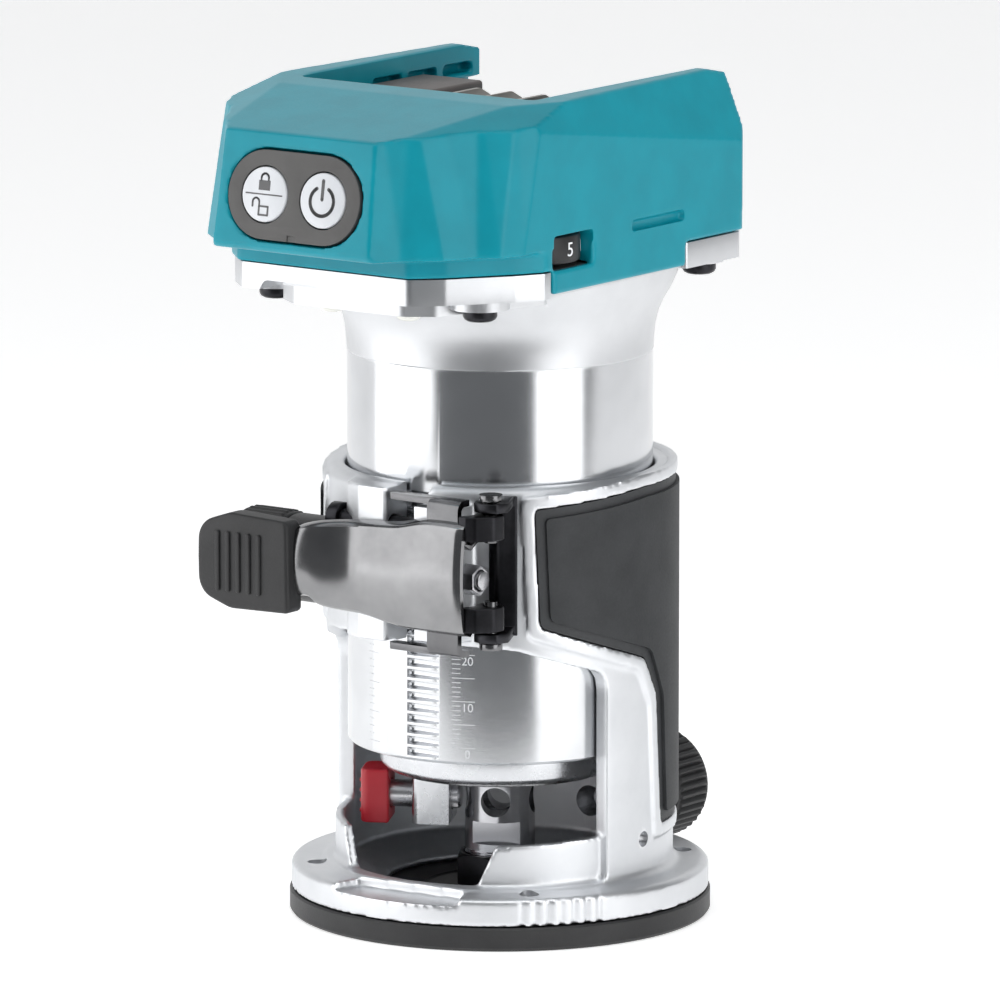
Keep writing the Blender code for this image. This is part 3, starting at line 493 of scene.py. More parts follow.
for side in ("left", "right"):
    border = wrapped(rounded(grown(grip, 0.1)), 35.6, 37.4)
    pad = softened(wrapped(rounded(grown(grip, -1.9)), 35.9, 38.2), 0.6, 4)
    grip_shape = together(border, pad)
    if side == "left":
        grip_shape = other_side(grip_shape)
    piece(f"grip_pad_{side}", grip_shape, rubber, "base", [f"grip_{side}"], 40)

# Guide screw: a knurled black plastic knob moulded onto a steel stud, which screws into the
# boss behind the column.

at_guide = Matrix.Translation((0, 0, guide_height)) @ Matrix.Rotation(-math.pi / 2, 4, "X")


def knurled(profile, grooves, depth, start=None):
    """A turned shape with straight V-grooves cut all round the widest part of it."""
    bm = turned(profile, grooves * 8)
    rim = max(r for r, _ in profile)
    for v in bm.verts:
        if v.co.xy.length > rim - 0.05:
            wave = 0.5 + 0.5 * math.cos(grooves * math.atan2(v.co.y, v.co.x))
            v.co.xy *= 1 - depth / rim * wave**2
    return facing_out(bm, start)


knob = [(0, 57.5), (3.05, 57.5), (3.05, 47.7), (6.2, 47.7), (6.6, 48.1), (6.6, 49.6), (7.2, 49.9)]
knob += [(10.9, 49.9), (11.4, 50.2), (11.5, 50.9), (11.98, 51.3), (12.0, 52), (12.0, 59.8), (11.98, 60.4)]
knob += [(11.5, 60.8), (11.3, 61.5), (10.8, 61.8), (9.9, 61.8), (9.5, 61.5), (9.2, 60.9), (0, 60.7)]
knob = knurled(knob, 40, 0.7, at_guide)
piece("guide_knob_body", knob, black_plastic, "guide_screw", ["guide_knob"])
pitch = 0.8
stud = [(0, 37.8), (2.3, 37.8)]
for k in range(22):
    low = 38.5 + pitch * k
    stud += [(2.95, low), (2.95, low + 0.1), (2.55, low + 0.45), (2.55, low + 0.55)]
stud += [(2.95, 57.2), (0, 57.2)]
piece("guide_stud_thread", turned(stud, 64, at_guide), steel, "guide_screw", ["guide_stud"])

# Depth adjuster: a knurled knob on the pinion's shaft, left of the split, with a plain
# spacer against the collar and a steel nut at the far end. The pinion lifts the motor.

along_pinion = Matrix.Translation((0, *pinion_at)) @ Matrix.Rotation(math.pi / 2, 4, "Y")
knob = [(0, -39.0), (5.6, -39.0), (6.2, -39.4), (8.9, -39.4), (9.3, -39.1), (9.4, -38.6), (9.78, -38.2)]
knob += [(9.8, -37.6), (9.8, -29.2), (9.78, -28.6), (9.4, -28.2), (9.3, -27.6), (9.0, -27.3)]
knob += [(2.1, -27.3), (2.1, -37.8), (0, -37.8)]
knob = knurled(knob, 34, 0.6, along_pinion)
piece("depth_knob_body", knob, black_plastic, "depth_pinion", ["depth_knob"])
spacer = [(2.4, -26.9), (8.9, -26.9), (9.2, -26.6), (9.3, -26.2), (9.3, -16.6), (2.4, -16.6)]
spacer = boolean(turned(spacer, 96, along_pinion), "DIFFERENCE", rod((0, 0, 60), (0, 0, 100), 37.5, 192))
piece("depth_spacer", spacer, black_plastic, "base", ["knob_spacer"])
refinished(["pinion_shaft", "pinion_nut"], steel, 0.12)

# Clamp: a strip of dark chromed steel bent into a C round the right ear, a black bolt with
# its nut, and the bracket that holds the lever's two hinge pins.

dark_chrome = metal("dark_chrome", (0.13, 0.13, 0.135), (0.2, 0.2, 0.205), (0.16, 0.26), 0.25, 0.002)
black_oxide = metal("black_oxide", (0.02, 0.02, 0.022), (0.045, 0.045, 0.05), (0.28, 0.42), 0.3, 0.003)

bend = [(-38.4, 63.0, 0), (-42.6, 63.0, 2.2), (-42.6, 96.4, 2.2), (-38.4, 96.4, 0), (-38.4, 95.0, 0)]
bend += [(-41.2, 95.0, 1.0), (-41.2, 64.4, 1.0), (-38.4, 64.4, 0)]
strip = slab(rounded(bend), 12.0, 20.0, "X")
arm = rounded([(0.7, -41.2, 1.2), (13, -41.2, 0), (13, -38.4, 0), (0.7, -38.4, 1.2)])
strip = boolean(strip, "UNION", slab(arm, 95.0, 96.4))
strip = boolean(strip, "UNION", slab(arm, 63.0, 64.4))
piece("clamp_strip", softened(strip, 0.3, 3, 28), dark_chrome, "base", ["clamp_link"])
refinished(["clamp_bolt", "hinge_bracket"], black_oxide, 0.25)
refinished(["hinge_pin_upper", "hinge_pin_lower", "clamp_nut"], dark_chrome, 0.25)

# Lever: pressed steel, plated dark and polished. Its face bulges a little, its edges roll
# back, and it curves forward into a moulded black pad for the finger.

lever_metal = metal("lever_plate", (0.24, 0.24, 0.245), (0.33, 0.33, 0.335), (0.14, 0.22), 0.25, 0.002)

top_edge = [(-30, 85.6), (-20.5, 87.2), (-17, 88.6), (-13, 89.5)]
top_edge += [(-2, 90.2), (4.7, 90.7), (12, 92.2), (22.4, 92.4)]
low_edge = [(-30, 72.8), (-22, 72.6), (-15.6, 72.9), (-13, 71.0)]
low_edge += [(-2.5, 69.5), (4.7, 68.2), (12, 67.9), (22.4, 67.9)]


def follow(points, x):
    """The smooth curve through these points, read at x."""
    x = min(max(x, points[0][0]), points[-1][0])
    k = next(i for i in range(1, len(points)) if x <= points[i][0])
    (x0, z0), (x1, z1) = points[k - 1], points[k]
    before, after = points[max(k - 2, 0)], points[min(k + 1, len(points) - 1)]
    slope0 = (z1 - before[1]) / (x1 - before[0])
    slope1 = (after[1] - z0) / (after[0] - x0)
    t, wide = (x - x0) / (x1 - x0), x1 - x0
    start = (2 * t**3 - 3 * t**2 + 1) * z0 + (t**3 - 2 * t**2 + t) * wide * slope0
    return start + (3 * t**2 - 2 * t**3) * z1 + (t**3 - t**2) * wide * slope1


plate = bmesh.new()
sections = []
for i in range(96):
    x = 22.4 - 52.4 * i / 95
    high, low = follow(top_edge, x), follow(low_edge, x)
    reach = min(max((-4.0 - x) / 15.0, 0), 1)
    back = -43.2 - 4.2 * reach * reach * (3 - 2 * reach)
    middle, half = (high + low) / 2, (high - low) / 2
    section = []
    for inset, order in ((0.0, 1), (1.0, -1)):
        rows = []
        for k in range(25):
            t = -1 + 2 * k / 24
            span = math.copysign(abs(math.sin(t * math.pi / 2)) ** 0.85, t)
            roll = 2.4 * max(0, (abs(span) - 0.86) / 0.14) ** 2.4
            bulge = 1.3 * (1 - span * span)
            y = back - 1.2 - bulge + roll + inset
            rows.append(plate.verts.new((x, y, middle + span * (half - inset * 0.8))))
        section += rows[::order]
    sections.append(section)
for first, second in zip(sections, sections[1:]):
    for k in range(len(first)):
        plate.faces.new((first[k - 1], first[k], second[k], second[k - 1]))
plate.faces.new(sections[0])
plate.faces.new(sections[-1])
plate = facing_out(plate)
for v in plate.verts:
    if v.co.x > 20.4:
        v.co.y += (v.co.x - 20.4) ** 2 * 0.16
hook = [(22.6, -43.4, 0.6), (20.4, -43.2, 0.4), (22.0, -39.4, 1.2), (20.9, -37.2, 1.2), (21.4, -34.9, 1.2)]
hook += [(24.5, -33.6, 1.6), (27.7, -36.4, 1.8), (27.4, -39.6, 2.0), (24.6, -42.8, 1.4)]
hinge_bore = rod((24.5, -37, 60), (24.5, -37, 100), 1.6)
knuckles = together(slab(rounded(hook), 88.4, 93.6), slab(rounded(hook), 69.0, 74.2))
knuckles = softened(boolean(knuckles, "DIFFERENCE", hinge_bore), 0.35, 3)
piece("lever_face", plate, lever_metal, "lever", ["lever_plate"], 35)
piece("lever_knuckles", knuckles, black_oxide, "lever", ["lever_plate"], 35)

outline = [(-17.4, 69.8, 1.2), (-17.8, 89.4, 1.4), (-33, 90.0, 6), (-41.2, 87.2, 5)]
outline += [(-41.4, 80, 9), (-41.2, 72.2, 5), (-33, 69.4, 6)]
pad = softened(slab(rounded(outline, 8), -52.0, -46.8, "Y"), 1.0, 5)
ridges = []
for k in range(5):
    x = -36.4 + 2.7 * k
    ridge = rounded([(x, 73, 0.5), (x + 1.1, 73, 0.5), (x + 1.1, 86, 0.5), (x, 86, 0.5)], 4)
    ridges.append(softened(slab(ridge, -52.5, -51.5, "Y"), 0.3, 3))
piece("lever_finger_pad", together(pad, *ridges), black_plastic, "lever", ["lever_pad"], 40)

# Motor housing: turned from one aluminium casting, bright below the neck and left as blasted
# above. The rack is milled in its front, and both depth scales are marked beside it.

tube = 32.5
profile = [(10.5, 37.4), (31.7, 37.4), (32.2, 37.6), (tube, 38.1), (tube, 121.8), (32.62, 122.0)]
profile += [(32.75, 124.5), (33.1, 127.5), (33.8, 130.2), (35.0, 132.9), (36.6, 135.6), (37.7, 138.2)]
profile += [(38.2, 140.9), (38.0, 141.7), (31.0, 145.0), (29.0, 145.0), (29.0, 54.0), (16.3, 54.0)]
profile += [(16.3, 42.0), (10.5, 42.0)]
housing = turned(profile, 192)
half = [(21.6, -62.0, 2.5), (27.3, -56.8, 5), (36.4, -44.4, 6), (39.6, -38.6, 1.2), (39.6, -36.3, 0.4)]
half += [(38.2, -36.3, 0), (38.2, 12.3, 0), (39.6, 12.3, 0.8), (39.6, 33.6, 2.5)]
flange = rounded(half + [(-x, y, r) for x, y, r in half[::-1]])
housing = boolean(housing, "UNION", slab(flange, 140.5, 146.0))
shelf = rounded([(-20, -50, 3), (-14, -54, 3), (14, -54, 3), (20, -50, 3), (30, -22, 2), (-30, -22, 2)])
housing = boolean(housing, "UNION", slab(shelf, 136.6, 141.5))
screw_bosses = ((26.5, -43.5, 138.2, 6.2), (31.5, 28.6, 139.4, 5.2))
for x, y, low, radius in screw_bosses:
    for side in (-1, 1):
        boss = rod((side * x, y, low), (side * x, y, 142), radius, 64)
        housing = boolean(housing, "UNION", boss)
housing = boolean(housing, "DIFFERENCE", rod((0, 0, 130), (0, 0, 150), 28.85, 96))
housing = boolean(housing, "DIFFERENCE", block((-15, -50, 139.5), (15, -20, 150)))
arch = rounded([(-17.6, 139.5, 0), (-15.6, 142.6, 1.6), (15.6, 142.6, 1.6), (17.6, 139.5, 0)])
housing = boolean(housing, "DIFFERENCE", slab(arch, -64, -54.3, "Y"))
screw_spots = [(side * x, y) for side in (-1, 1) for x, y, _, _ in screw_bosses]
bores = together(*[rod((x, y, 130), (x, y, 150), 2.2) for x, y in screw_spots])
housing = boolean(housing, "DIFFERENCE", bores)
gaps = []
for k in range(24):
    z = 39.4 + 2.4 * k
    gap = [(-33.5, z - 0.92), (-33.5, z + 0.92), (-32.5, z + 0.92), (-30.9, z + 0.42)]
    gap += [(-30.9, z - 0.42), (-32.5, z - 0.92)]
    gaps.append(slab(gap, -0.6, 7.1, "X"))
housing = boolean(housing, "DIFFERENCE", together(*gaps))
housing = softened(housing, 0.25, 2, 35)

turned_silver, where, edges, link = finish_of("turned_silver", metallic=1.0)
height = where.node("ShaderNodeSeparateXYZ", {"Vector": where}, output=2)
above = height.node("ShaderNodeMapRange", {"Value": height, "From Min": 0.1212, "From Max": 0.1222})
rings = where.stretched(1, 1, 60).noise(3.0, 3, 0.6)
tooth = where.noise(0.28, 3, 0.65)
cloud = where.noise(12, 4).ramp((0.3, 0.0), (0.7, 1.0))
rubbed = edges.ramp((0.52, 0.0), (0.58, 1.0))
link(base_color=(cloud * 0.4 + rings * 0.2 + rubbed * 0.4).shades((0.62, 0.63, 0.645), (0.78, 0.79, 0.81)))
link(roughness=0.13 + rings * 0.08 + above * (0.12 + tooth * 0.14))
link(normal=(rings * (1 - above) * 0.25 + tooth * above).bump(0.012))
piece("housing", housing, turned_silver, "motor_unit", ["motor_housing"], 25)

etched = moulded("etched_marks", (0.55, 0.56, 0.58), (0.7, 0.71, 0.73), (0.55, 0.7), 0.3, 0.01)
line_width = 0.16
digits_at = 32.48
marks = []


def mark(from_x, to_x, z):
    """One line of a scale, from one distance round the tube to another."""
    first, last = [math.degrees(x / tube) for x in (from_x, to_x)]
    low, high = z - line_width / 2, z + line_width / 2
    marks.append(wrapped([(first, low), (last, low), (last, high), (first, high)], 32.44, 32.515))


def numeral(text, x, z, size):
    """Upright digits laid round the tube."""
    words = bpy.data.curves.new("work", "FONT")
    words.body = text
    words.size = size
    words.extrude = 0.04
    words.align_x = "CENTER"
    holder = bpy.data.objects.new("work", words)
    bpy.context.scene.collection.objects.link(holder)
    graph = bpy.context.evaluated_depsgraph_get()
    bm = bmesh.new()
    bm.from_mesh(holder.evaluated_get(graph).to_mesh())
    bpy.data.curves.remove(words)
    for v in bm.verts:
        v.co = around(digits_at + v.co.z, math.degrees((x + v.co.x) / tube), z + v.co.y)
    marks.append(bm)


sixteenth = 1.5875
for k in range(33):
    mark(-12.6, -8.8 if k % 4 == 0 else -10.7, 40.2 + sixteenth * k)
for k in range(51):
    mark(10.1, 15.1 if k % 5 == 0 else 12.0, 41.1 + k)
    if k % 10 == 0:
        numeral(str(k), 13.5, 41.1 + k - 2.2, 2.6)
piece("scales", together(*marks), etched, "motor_unit")

# Bearing cap: turned aluminium that closes the tube below and holds the lower bearing. A
# red shaft lock button slides on a steel pin in the cap's boss.

lock_degrees, lock_height = -62, 24.3
lock_turn = Matrix.Rotation(math.radians(lock_degrees), 4, "Z")
cap = [(8.2, 31.3), (8.5, 31.0), (23.4, 31.0), (24.2, 31.3), (25.4, 32.4), (25.6, 33.0)]
cap += [(25.6, 37.1), (8.2, 37.1)]
boss = rounded([(-6.2, -18.4, 2), (6.2, -18.4, 2), (6.2, -10.2, 0), (-6.2, -10.2, 0)])
boss = facing_out(slab(boss, 18.9, 32.0), lock_turn)
cap = boolean(turned(cap, 192), "UNION", boss)
pin_bore = [around(radius, lock_degrees, lock_height) for radius in (2, 40)]
cap = boolean(cap, "DIFFERENCE", rod(*pin_bore, 3.3))
cap = softened(cap, 0.3, 3, 35)
machined = metal("machined_aluminium", (0.6, 0.61, 0.63), (0.76, 0.77, 0.79), (0.2, 0.34), 0.3, 0.004)
piece("cap", cap, machined, "motor_unit", ["bearing_cap"])

red_plastic = moulded("red_plastic", (0.42, 0.008, 0.02), (0.5, 0.02, 0.035), (0.3, 0.45), 0.4, 0.015)
corners = rounded([(-5.0, -29.6, 2.0), (5.0, -29.6, 2.0), (5.0, -23.4, 0.6), (-5.0, -23.4, 0.6)], 8)
button_bore = rod((0, -21, lock_height), (0, -26.8, lock_height), 3.2)
button = boolean(slab(corners, 18.6, 30.2), "DIFFERENCE", button_bore)
button = softened(button, 0.7, 4, 35)
ribs = []
for k in range(4):
    z = 21.0 + 2.2 * k
    ribs.append(softened(block((-3.2, -29.9, z - 0.4), (3.2, -29.0, z + 0.4)), 0.25, 3))
button = facing_out(together(button, *ribs), lock_turn)
piece("lock_push_button", button, red_plastic, "shaft_lock", ["shaft_lock_button"], 40)
pin = [(0, 8.3), (2.5, 8.3), (2.9, 8.8), (2.9, 26.2), (2.7, 26.4), (0, 26.4)]
across = Matrix.Translation((0, 0, lock_height)) @ lock_turn @ Matrix.Rotation(math.pi / 2, 4, "X")
piece("lock_pin", turned(pin, 48, across), steel, "shaft_lock", ["shaft_lock_pin"])

# Spindle: ground steel, with the collet held in it by a black hexagon nut. The rotor and
# the fan are pressed on it, inside the tube.

bar = [(5.8, 8.2), (6.0, 8.0), (7.2, 8.0)]
for low in (8.3, 9.3, 10.3, 11.3, 12.3):
    bar += [(7.5, low), (7.5, low + 0.2), (7.1, low + 0.5), (7.1, low + 0.7)]
bar += [(7.5, 13.4), (7.5, 31.5), (7.7, 32.0), (7.7, 41.0), (6.0, 41.6), (6.0, 112.0)]
bar += [(4.0, 112.6), (4.0, 124.6), (3.6, 125.0), (0, 125.0), (0, 14.4), (5.8, 14.4)]
bar = turned(bar, 128)
for turn, radius in ((lock_degrees, 3.35), (lock_degrees + 90, 3.2)):
    hole = rod(around(-20, turn, lock_height), around(20, turn, lock_height), radius)
    bar = boolean(bar, "DIFFERENCE", hole)
flats = [facing_out(block((s, -12, 15.0), (s + 6, 12, 19.8)), lock_turn) for s in (5.5, -11.5)]
bar = boolean(bar, "DIFFERENCE", together(*flats))
ground_steel = metal("ground_steel", (0.42, 0.42, 0.44), (0.6, 0.6, 0.62), (0.14, 0.26), 0.25, 0.002)
piece("spindle_bar", bar, ground_steel, "spindle", ["spindle"])
sleeve = [(3.2, 5.6), (3.4, 5.4), (4.8, 5.4), (5.0, 5.6), (5.5, 7.8), (5.5, 13.8), (5.3, 14.0), (3.2, 14.0)]
sleeve = turned(sleeve, 96)
for k in range(4):
    quarter = Matrix.Rotation(math.radians(45 + 90 * k), 4, "Z")
    slit = facing_out(block((2.6, -0.3, 4), (7, 0.3, 12.4)), quarter)
    sleeve = boolean(sleeve, "DIFFERENCE", slit)
piece("collet_sleeve", sleeve, ground_steel, "spindle", ["collet"])

hexagon = [around(9.8, 28 + 60 * k, 0).xy for k in range(6)]
nut = slab(hexagon, 5.0, 12.4)
taper = turned([(0, 4.9), (8.5, 4.9), (9.9, 5.9), (9.9, 11.5), (8.5, 12.5), (0, 12.5)], 128)
nut = boolean(nut, "INTERSECT", taper)
hole = turned([(0, 3), (5.85, 3), (5.7, 5.5), (5.8, 7.6), (7.8, 7.7), (7.8, 14), (0, 14)], 96)
nut = softened(boolean(nut, "DIFFERENCE", hole), 0.2, 3, 25)
piece("hex_nut", nut, black_oxide, "collet_nut", ["collet_nut"], 25)
refinished(["rotor_core"], steel, 0.2)
refinished(["fan"], black_plastic, 0.2)

# Motor parts inside the tube: two bearings, their bracket, the laminated stator with its
# copper windings, and two green circuit boards under the head.

lamination = metal("laminated_steel", (0.2, 0.2, 0.21), (0.34, 0.34, 0.35), (0.35, 0.5), 0.4, 0.01)
copper = metal("copper_wire", (0.55, 0.24, 0.1), (0.72, 0.36, 0.17), (0.3, 0.45), 0.6, 0.05)
refinished(["lower_bearing", "upper_bearing"], ground_steel, 0.3)
refinished(["upper_bearing_bracket"], machined, 0.3)
refinished(["stator_core"], lamination, 0.15)
refinished(["stator_coils"], copper, 0.4)
board = moulded("board_green", (0.008, 0.075, 0.03), (0.016, 0.12, 0.05), (0.3, 0.5), 1.2, 0.02)
refinished(["controller_board", "switch_board"], board, 0.1)

# Head: one moulding in teal plastic. Its front leans back and carries the buttons, its
# front corners flare out, and two rails on top take the battery's feet.

teal = moulded("teal_plastic", (0.0, 0.245, 0.315), (0.0, 0.285, 0.365), (0.3, 0.42), 0.4, 0.012)
teal.node_tree.nodes["Principled BSDF"].inputs["Specular IOR Level"].default_value = 0.3

half = [(22.0, -62.8, 2), (27.8, -57.2, 5), (36.8, -44.6, 6), (39.98, -38.8, 2), (39.98, 34.48, 3)]
head = slab(rounded(half + [(-x, y, r) for x, y, r in half[::-1]]), 146.3, 152.0)

corners = [((19.4, -78.0), (18.6, -78.0)), ((20.2, -73.8), (19.3, -70.2)), ((24.0, -67.6), (23.6, -64.6))]
corners += [((30.8, -61.8), (27.6, -59.4)), ((34.2, -55.0), (32.2, -52.0)), ((38.0, -52.0), (37.4, -46.8))]
corners += [((40, -46.6), (40, -41.0)), ((40, 32.4), (40, 32.4)), ((38.6, 34.5), (38.6, 34.5))]
corners += [((-a, b), (-c, d)) for (a, b), (c, d) in corners[::-1]]
flare = bmesh.new()
rows = []
for z, share in ((150.6, 0.0), (186.0, 1.45)):
    places = [(a + (c - a) * share, b + (d - b) * share) for (a, b), (c, d) in corners]
    rows.append([flare.verts.new((x, y, z)) for x, y in places])
flare.faces.new(rows[0])
flare.faces.new(rows[1])
for k in range(len(corners)):
    flare.faces.new((rows[0][k - 1], rows[0][k], rows[1][k], rows[1][k - 1]))
bmesh.ops.triangulate(flare, faces=flare.faces)
head = boolean(head, "UNION", facing_out(flare))

deck = [(-85, 174.6, 0), (-71.2, 174.6, 0), (-69.2, 175.4, 0), (-38.0, 180.2, 6), (-24, 180.8, 3)]
deck += [(28, 180.8, 5), (35.5, 179.2, 0), (35.5, 195, 0), (-85, 195, 0)]
head = boolean(head, "DIFFERENCE", slab(rounded(deck), -50, 50, "X"))
front = [(-90, 140), (-70.8, 140), (-73.0, 151.2), (-73.8, 151.8), (-67.65, 191.8), (-90, 191.8)]
head = boolean(head, "DIFFERENCE", slab(front, -50, 50, "X"))


def leaning(shape, through, slopes):
    """A block whose underside is tilted: it goes through a point, rising by each slope."""
    for v in shape.verts:
        if v.co.z < 1:
            x, y = v.co.x - through[0], v.co.y - through[1]
            v.co.z = through[2] + slopes[0] * x + slopes[1] * y
    return shape


sides = leaning(block((30, -90, 0), (60, 60, 220)), (40, -46, 176.5), (-2.39, -0.139))
head = boolean(head, "DIFFERENCE", both_sides(sides))
shoulders = leaning(block((4, -90, 0), (60, 60, 200)), (33, -32, 180.7), (-0.2385, 0.2155))
head = boolean(head, "DIFFERENCE", both_sides(shoulders))
channel = rounded([(-30.5, -30.0, 2), (30.5, -30.0, 2), (30.5, 60, 0), (-30.5, 60, 0)])
head = boolean(head, "DIFFERENCE", slab(channel, 168.3, 200))
head = boolean(head, "DIFFERENCE", both_sides(block((29.5, -26.0, 168.7), (33.5, 60, 173.2))))
slots = []
for y in (-4.0, 8.6, 21.4):
    slot = [(y, 174.4, 0.4), (y + 10.4, 174.4, 0.4), (y + 10.4, 176.6, 0.4), (y, 176.6, 0.4)]
    slots.append(slab(rounded(slot, 3), 29.5, 34.0, "X"))
head = boolean(head, "DIFFERENCE", both_sides(together(*slots)))
half = [(20.0, -56.0), (25.4, -55.2), (33.8, -44.4), (36.5, -39.6), (36.5, 31.0)]
head = boolean(head, "DIFFERENCE", slab(half + [(-x, y) for x, y in half[::-1]], 140, 164.6))
posts = [rod((x, y, 146.3), (x, y, 165.6), 4.4) for x, y in screw_spots]
head = boolean(head, "UNION", together(*posts))
skirt = rounded([(-36.0, 141.2, 0.8), (12.0, 141.2, 0.8), (12.0, 147.3, 0), (-36.0, 147.3, 0)], 4)
head = boolean(head, "UNION", both_sides(slab(skirt, 38.6, 39.99, "X")))
head = boolean(head, "DIFFERENCE", block((35.5, -36.0, 146.2), (45, -22.0, 153.4)))
slit = rounded([(-8.0, 151.0, 0.9), (11.0, 151.0, 0.9), (11.0, 153.4, 0.9), (-8.0, 153.4, 0.9)], 5)
head = boolean(head, "DIFFERENCE", slab(slit, 38.7, 45, "X"))

button_x = 7.5
face_lean = math.atan2(3.6, 23.4)
face = Matrix.Translation((0, -72.138, 162.6)) @ Matrix.Rotation(math.pi / 2 - face_lean, 4, "X")


def bar_outline(half, radius, steps=24):
    """A bar with round ends, along the panel."""
    ends = []
    for k in range(2 * steps + 2):
        turn = -math.pi / 2 + math.pi * (k - k // (steps + 1)) / steps
        side = 1 if k <= steps else -1
        ends.append((side * (half - radius) + radius * math.cos(turn), radius * math.sin(turn)))
    return ends


head = boolean(head, "DIFFERENCE", facing_out(slab(bar_outline(17.4, 9.7), -2.6, 8), face))
wells = [rod((x, 0, -25), (x, 0, 1), 6.3, 64) for x in (-button_x, button_x)]
head = boolean(head, "DIFFERENCE", facing_out(together(*wells), face))
head = cast(head, 0.5, 2, 0.4)
bores = together(*[rod((x, y, 140), (x, y, 156.5), 2.0) for x, y in screw_spots])
head = boolean(head, "DIFFERENCE", bores)
piece("head_shell", head, teal, "motor_unit", ["head_cover"], 40)

# Buttons: a dark grey panel let into the face, with two round pale buttons that push in.
# Thin printed signs show a closed and an open padlock, and the power sign.

panel_grey = moulded("panel_grey", (0.058, 0.056, 0.055), (0.08, 0.078, 0.076), (0.3, 0.42), 0.4, 0.012)
panel = slab(bar_outline(17.0, 9.3), -2.3, 0.3)
holes = [rod((x, 0, -5), (x, 0, 5), 6.05, 96) for x in (-button_x, button_x)]
panel = boolean(panel, "DIFFERENCE", together(*holes))
panel = boolean(panel, "DIFFERENCE", block((-0.9, -10, 0.0), (1.4, -8.0, 2)))
panel = facing_out(softened(panel, 0.3, 3), face)
piece("panel", panel, panel_grey, "motor_unit", ["button_panel"])

pale_grey = moulded("button_grey", (0.62, 0.64, 0.67), (0.72, 0.74, 0.77), (0.3, 0.4), 0.5, 0.008)
cap = [(0, -9.0), (5.6, -9.0), (5.75, -8.8), (5.75, 0.2), (5.6, 0.46), (5.3, 0.58), (0, 0.62)]
at_lock = face @ Matrix.Translation((-button_x, 0, 0))
at_power = face @ Matrix.Translation((button_x, 0, 0))
for name, place in (("lock_button", at_lock), ("power_button", at_power)):
    piece(f"{name}_cap", turned(cap, 96, place), pale_grey, name, [name])


def stroke(points, wide, closed=False):
    """A flat printed line through some points on a button."""
    shapes = []
    for first, last in zip(points, points[1:] + points[:1] if closed else points[1:]):
        first, last = Vector(first), Vector(last)
        half = (last - first).length / 2
        turn = Matrix.Rotation((last - first).angle_signed(Vector((1, 0))), 4, "Z")
        place = Matrix.Translation((*((first + last) / 2), 0.6)) @ turn
        shapes.append(facing_out(block((-half, -wide / 2, -0.1), (half, wide / 2, 0.06)), place))
    shapes += [rod((*point, 0.5), (*point, 0.66), wide / 2, 12) for point in points]
    return shapes


def arc(centre, radius, first, last, steps=24):
    """Points along part of a circle, by compass angle."""
    turns = [math.radians(first + (last - first) * k / steps) for k in range(steps + 1)]
    return [(centre[0] + radius * math.sin(t), centre[1] + radius * math.cos(t)) for t in turns]


ink = moulded("dark_print", (0.07, 0.07, 0.072), (0.1, 0.1, 0.104), (0.45, 0.6), 0.3, 0.004)
lock_sign = stroke([(-4.6, 0), (4.6, 0)], 0.28)
lock_sign.append(block((-1.45, 0.85, 0.5), (1.45, 2.9, 0.66)))
lock_sign += stroke([(-0.95, 2.9)] + arc((0, 3.4), 0.95, -90, 90) + [(0.95, 2.9)], 0.42)
lock_sign += stroke([(-1.0, -4.3), (1.3, -4.3), (1.3, -2.5), (-1.0, -2.5)], 0.4, True)
lock_sign += stroke([(-1.0, -2.6), (-1.0, -1.9)] + arc((-1.85, -1.7), 0.85, 90, -90) + [(-2.7, -2.6)], 0.4)
piece("lock_sign", facing_out(together(*lock_sign), at_lock), ink, "lock_button")
power_sign = stroke(arc((0, -0.2), 3.0, 30, 330, 48), 0.75) + stroke([(0, 0.2), (0, 4.1)], 0.75)
piece("power_sign", facing_out(together(*power_sign), at_power), ink, "power_button")

# Speed dial: a black thumb wheel on a plastic axle that shows through a window in the side,
# with the numbers 1 to 6 round its rim.

at_dial = Matrix.Translation((30.0, -29.0, 0))
rim = 9.5
wheel = [(2.2, 147.0), (8.9, 147.0), (9.3, 147.2), (rim, 147.6), (rim, 152.3), (9.3, 152.7)]
wheel += [(8.9, 152.9), (2.2, 152.9)]
piece("dial_wheel", turned(wheel, 144, at_dial), black_plastic, "speed_dial", ["speed_dial"])
refinished(["dial_axle"], black_plastic, 0.2)
white_print = moulded("white_print", (0.75, 0.76, 0.78), (0.85, 0.86, 0.88), (0.4, 0.5), 0.3, 0.004)
marks = []
for k in range(6):
    numeral(str(k + 1), 0, 148.6, 4.2)
    turn = Matrix.Rotation(math.radians(90 + (k - 4) * 45 - 3), 4, "Z")
    for v in marks[-1].verts:
        angle = math.atan2(v.co.x, -v.co.y) * digits_at / rim
        reach = v.co.xy.length - digits_at + rim + 0.02
        v.co = turn @ Vector((reach * math.sin(angle), -reach * math.cos(angle), v.co.z))
    bmesh.ops.transform(marks[-1], matrix=at_dial, verts=marks[-1].verts)
piece("dial_numbers", together(*marks), white_print, "speed_dial")

# Terminals: a grey-brown moulded block between the rails, and three tinned blades that
# touch the battery's contacts.

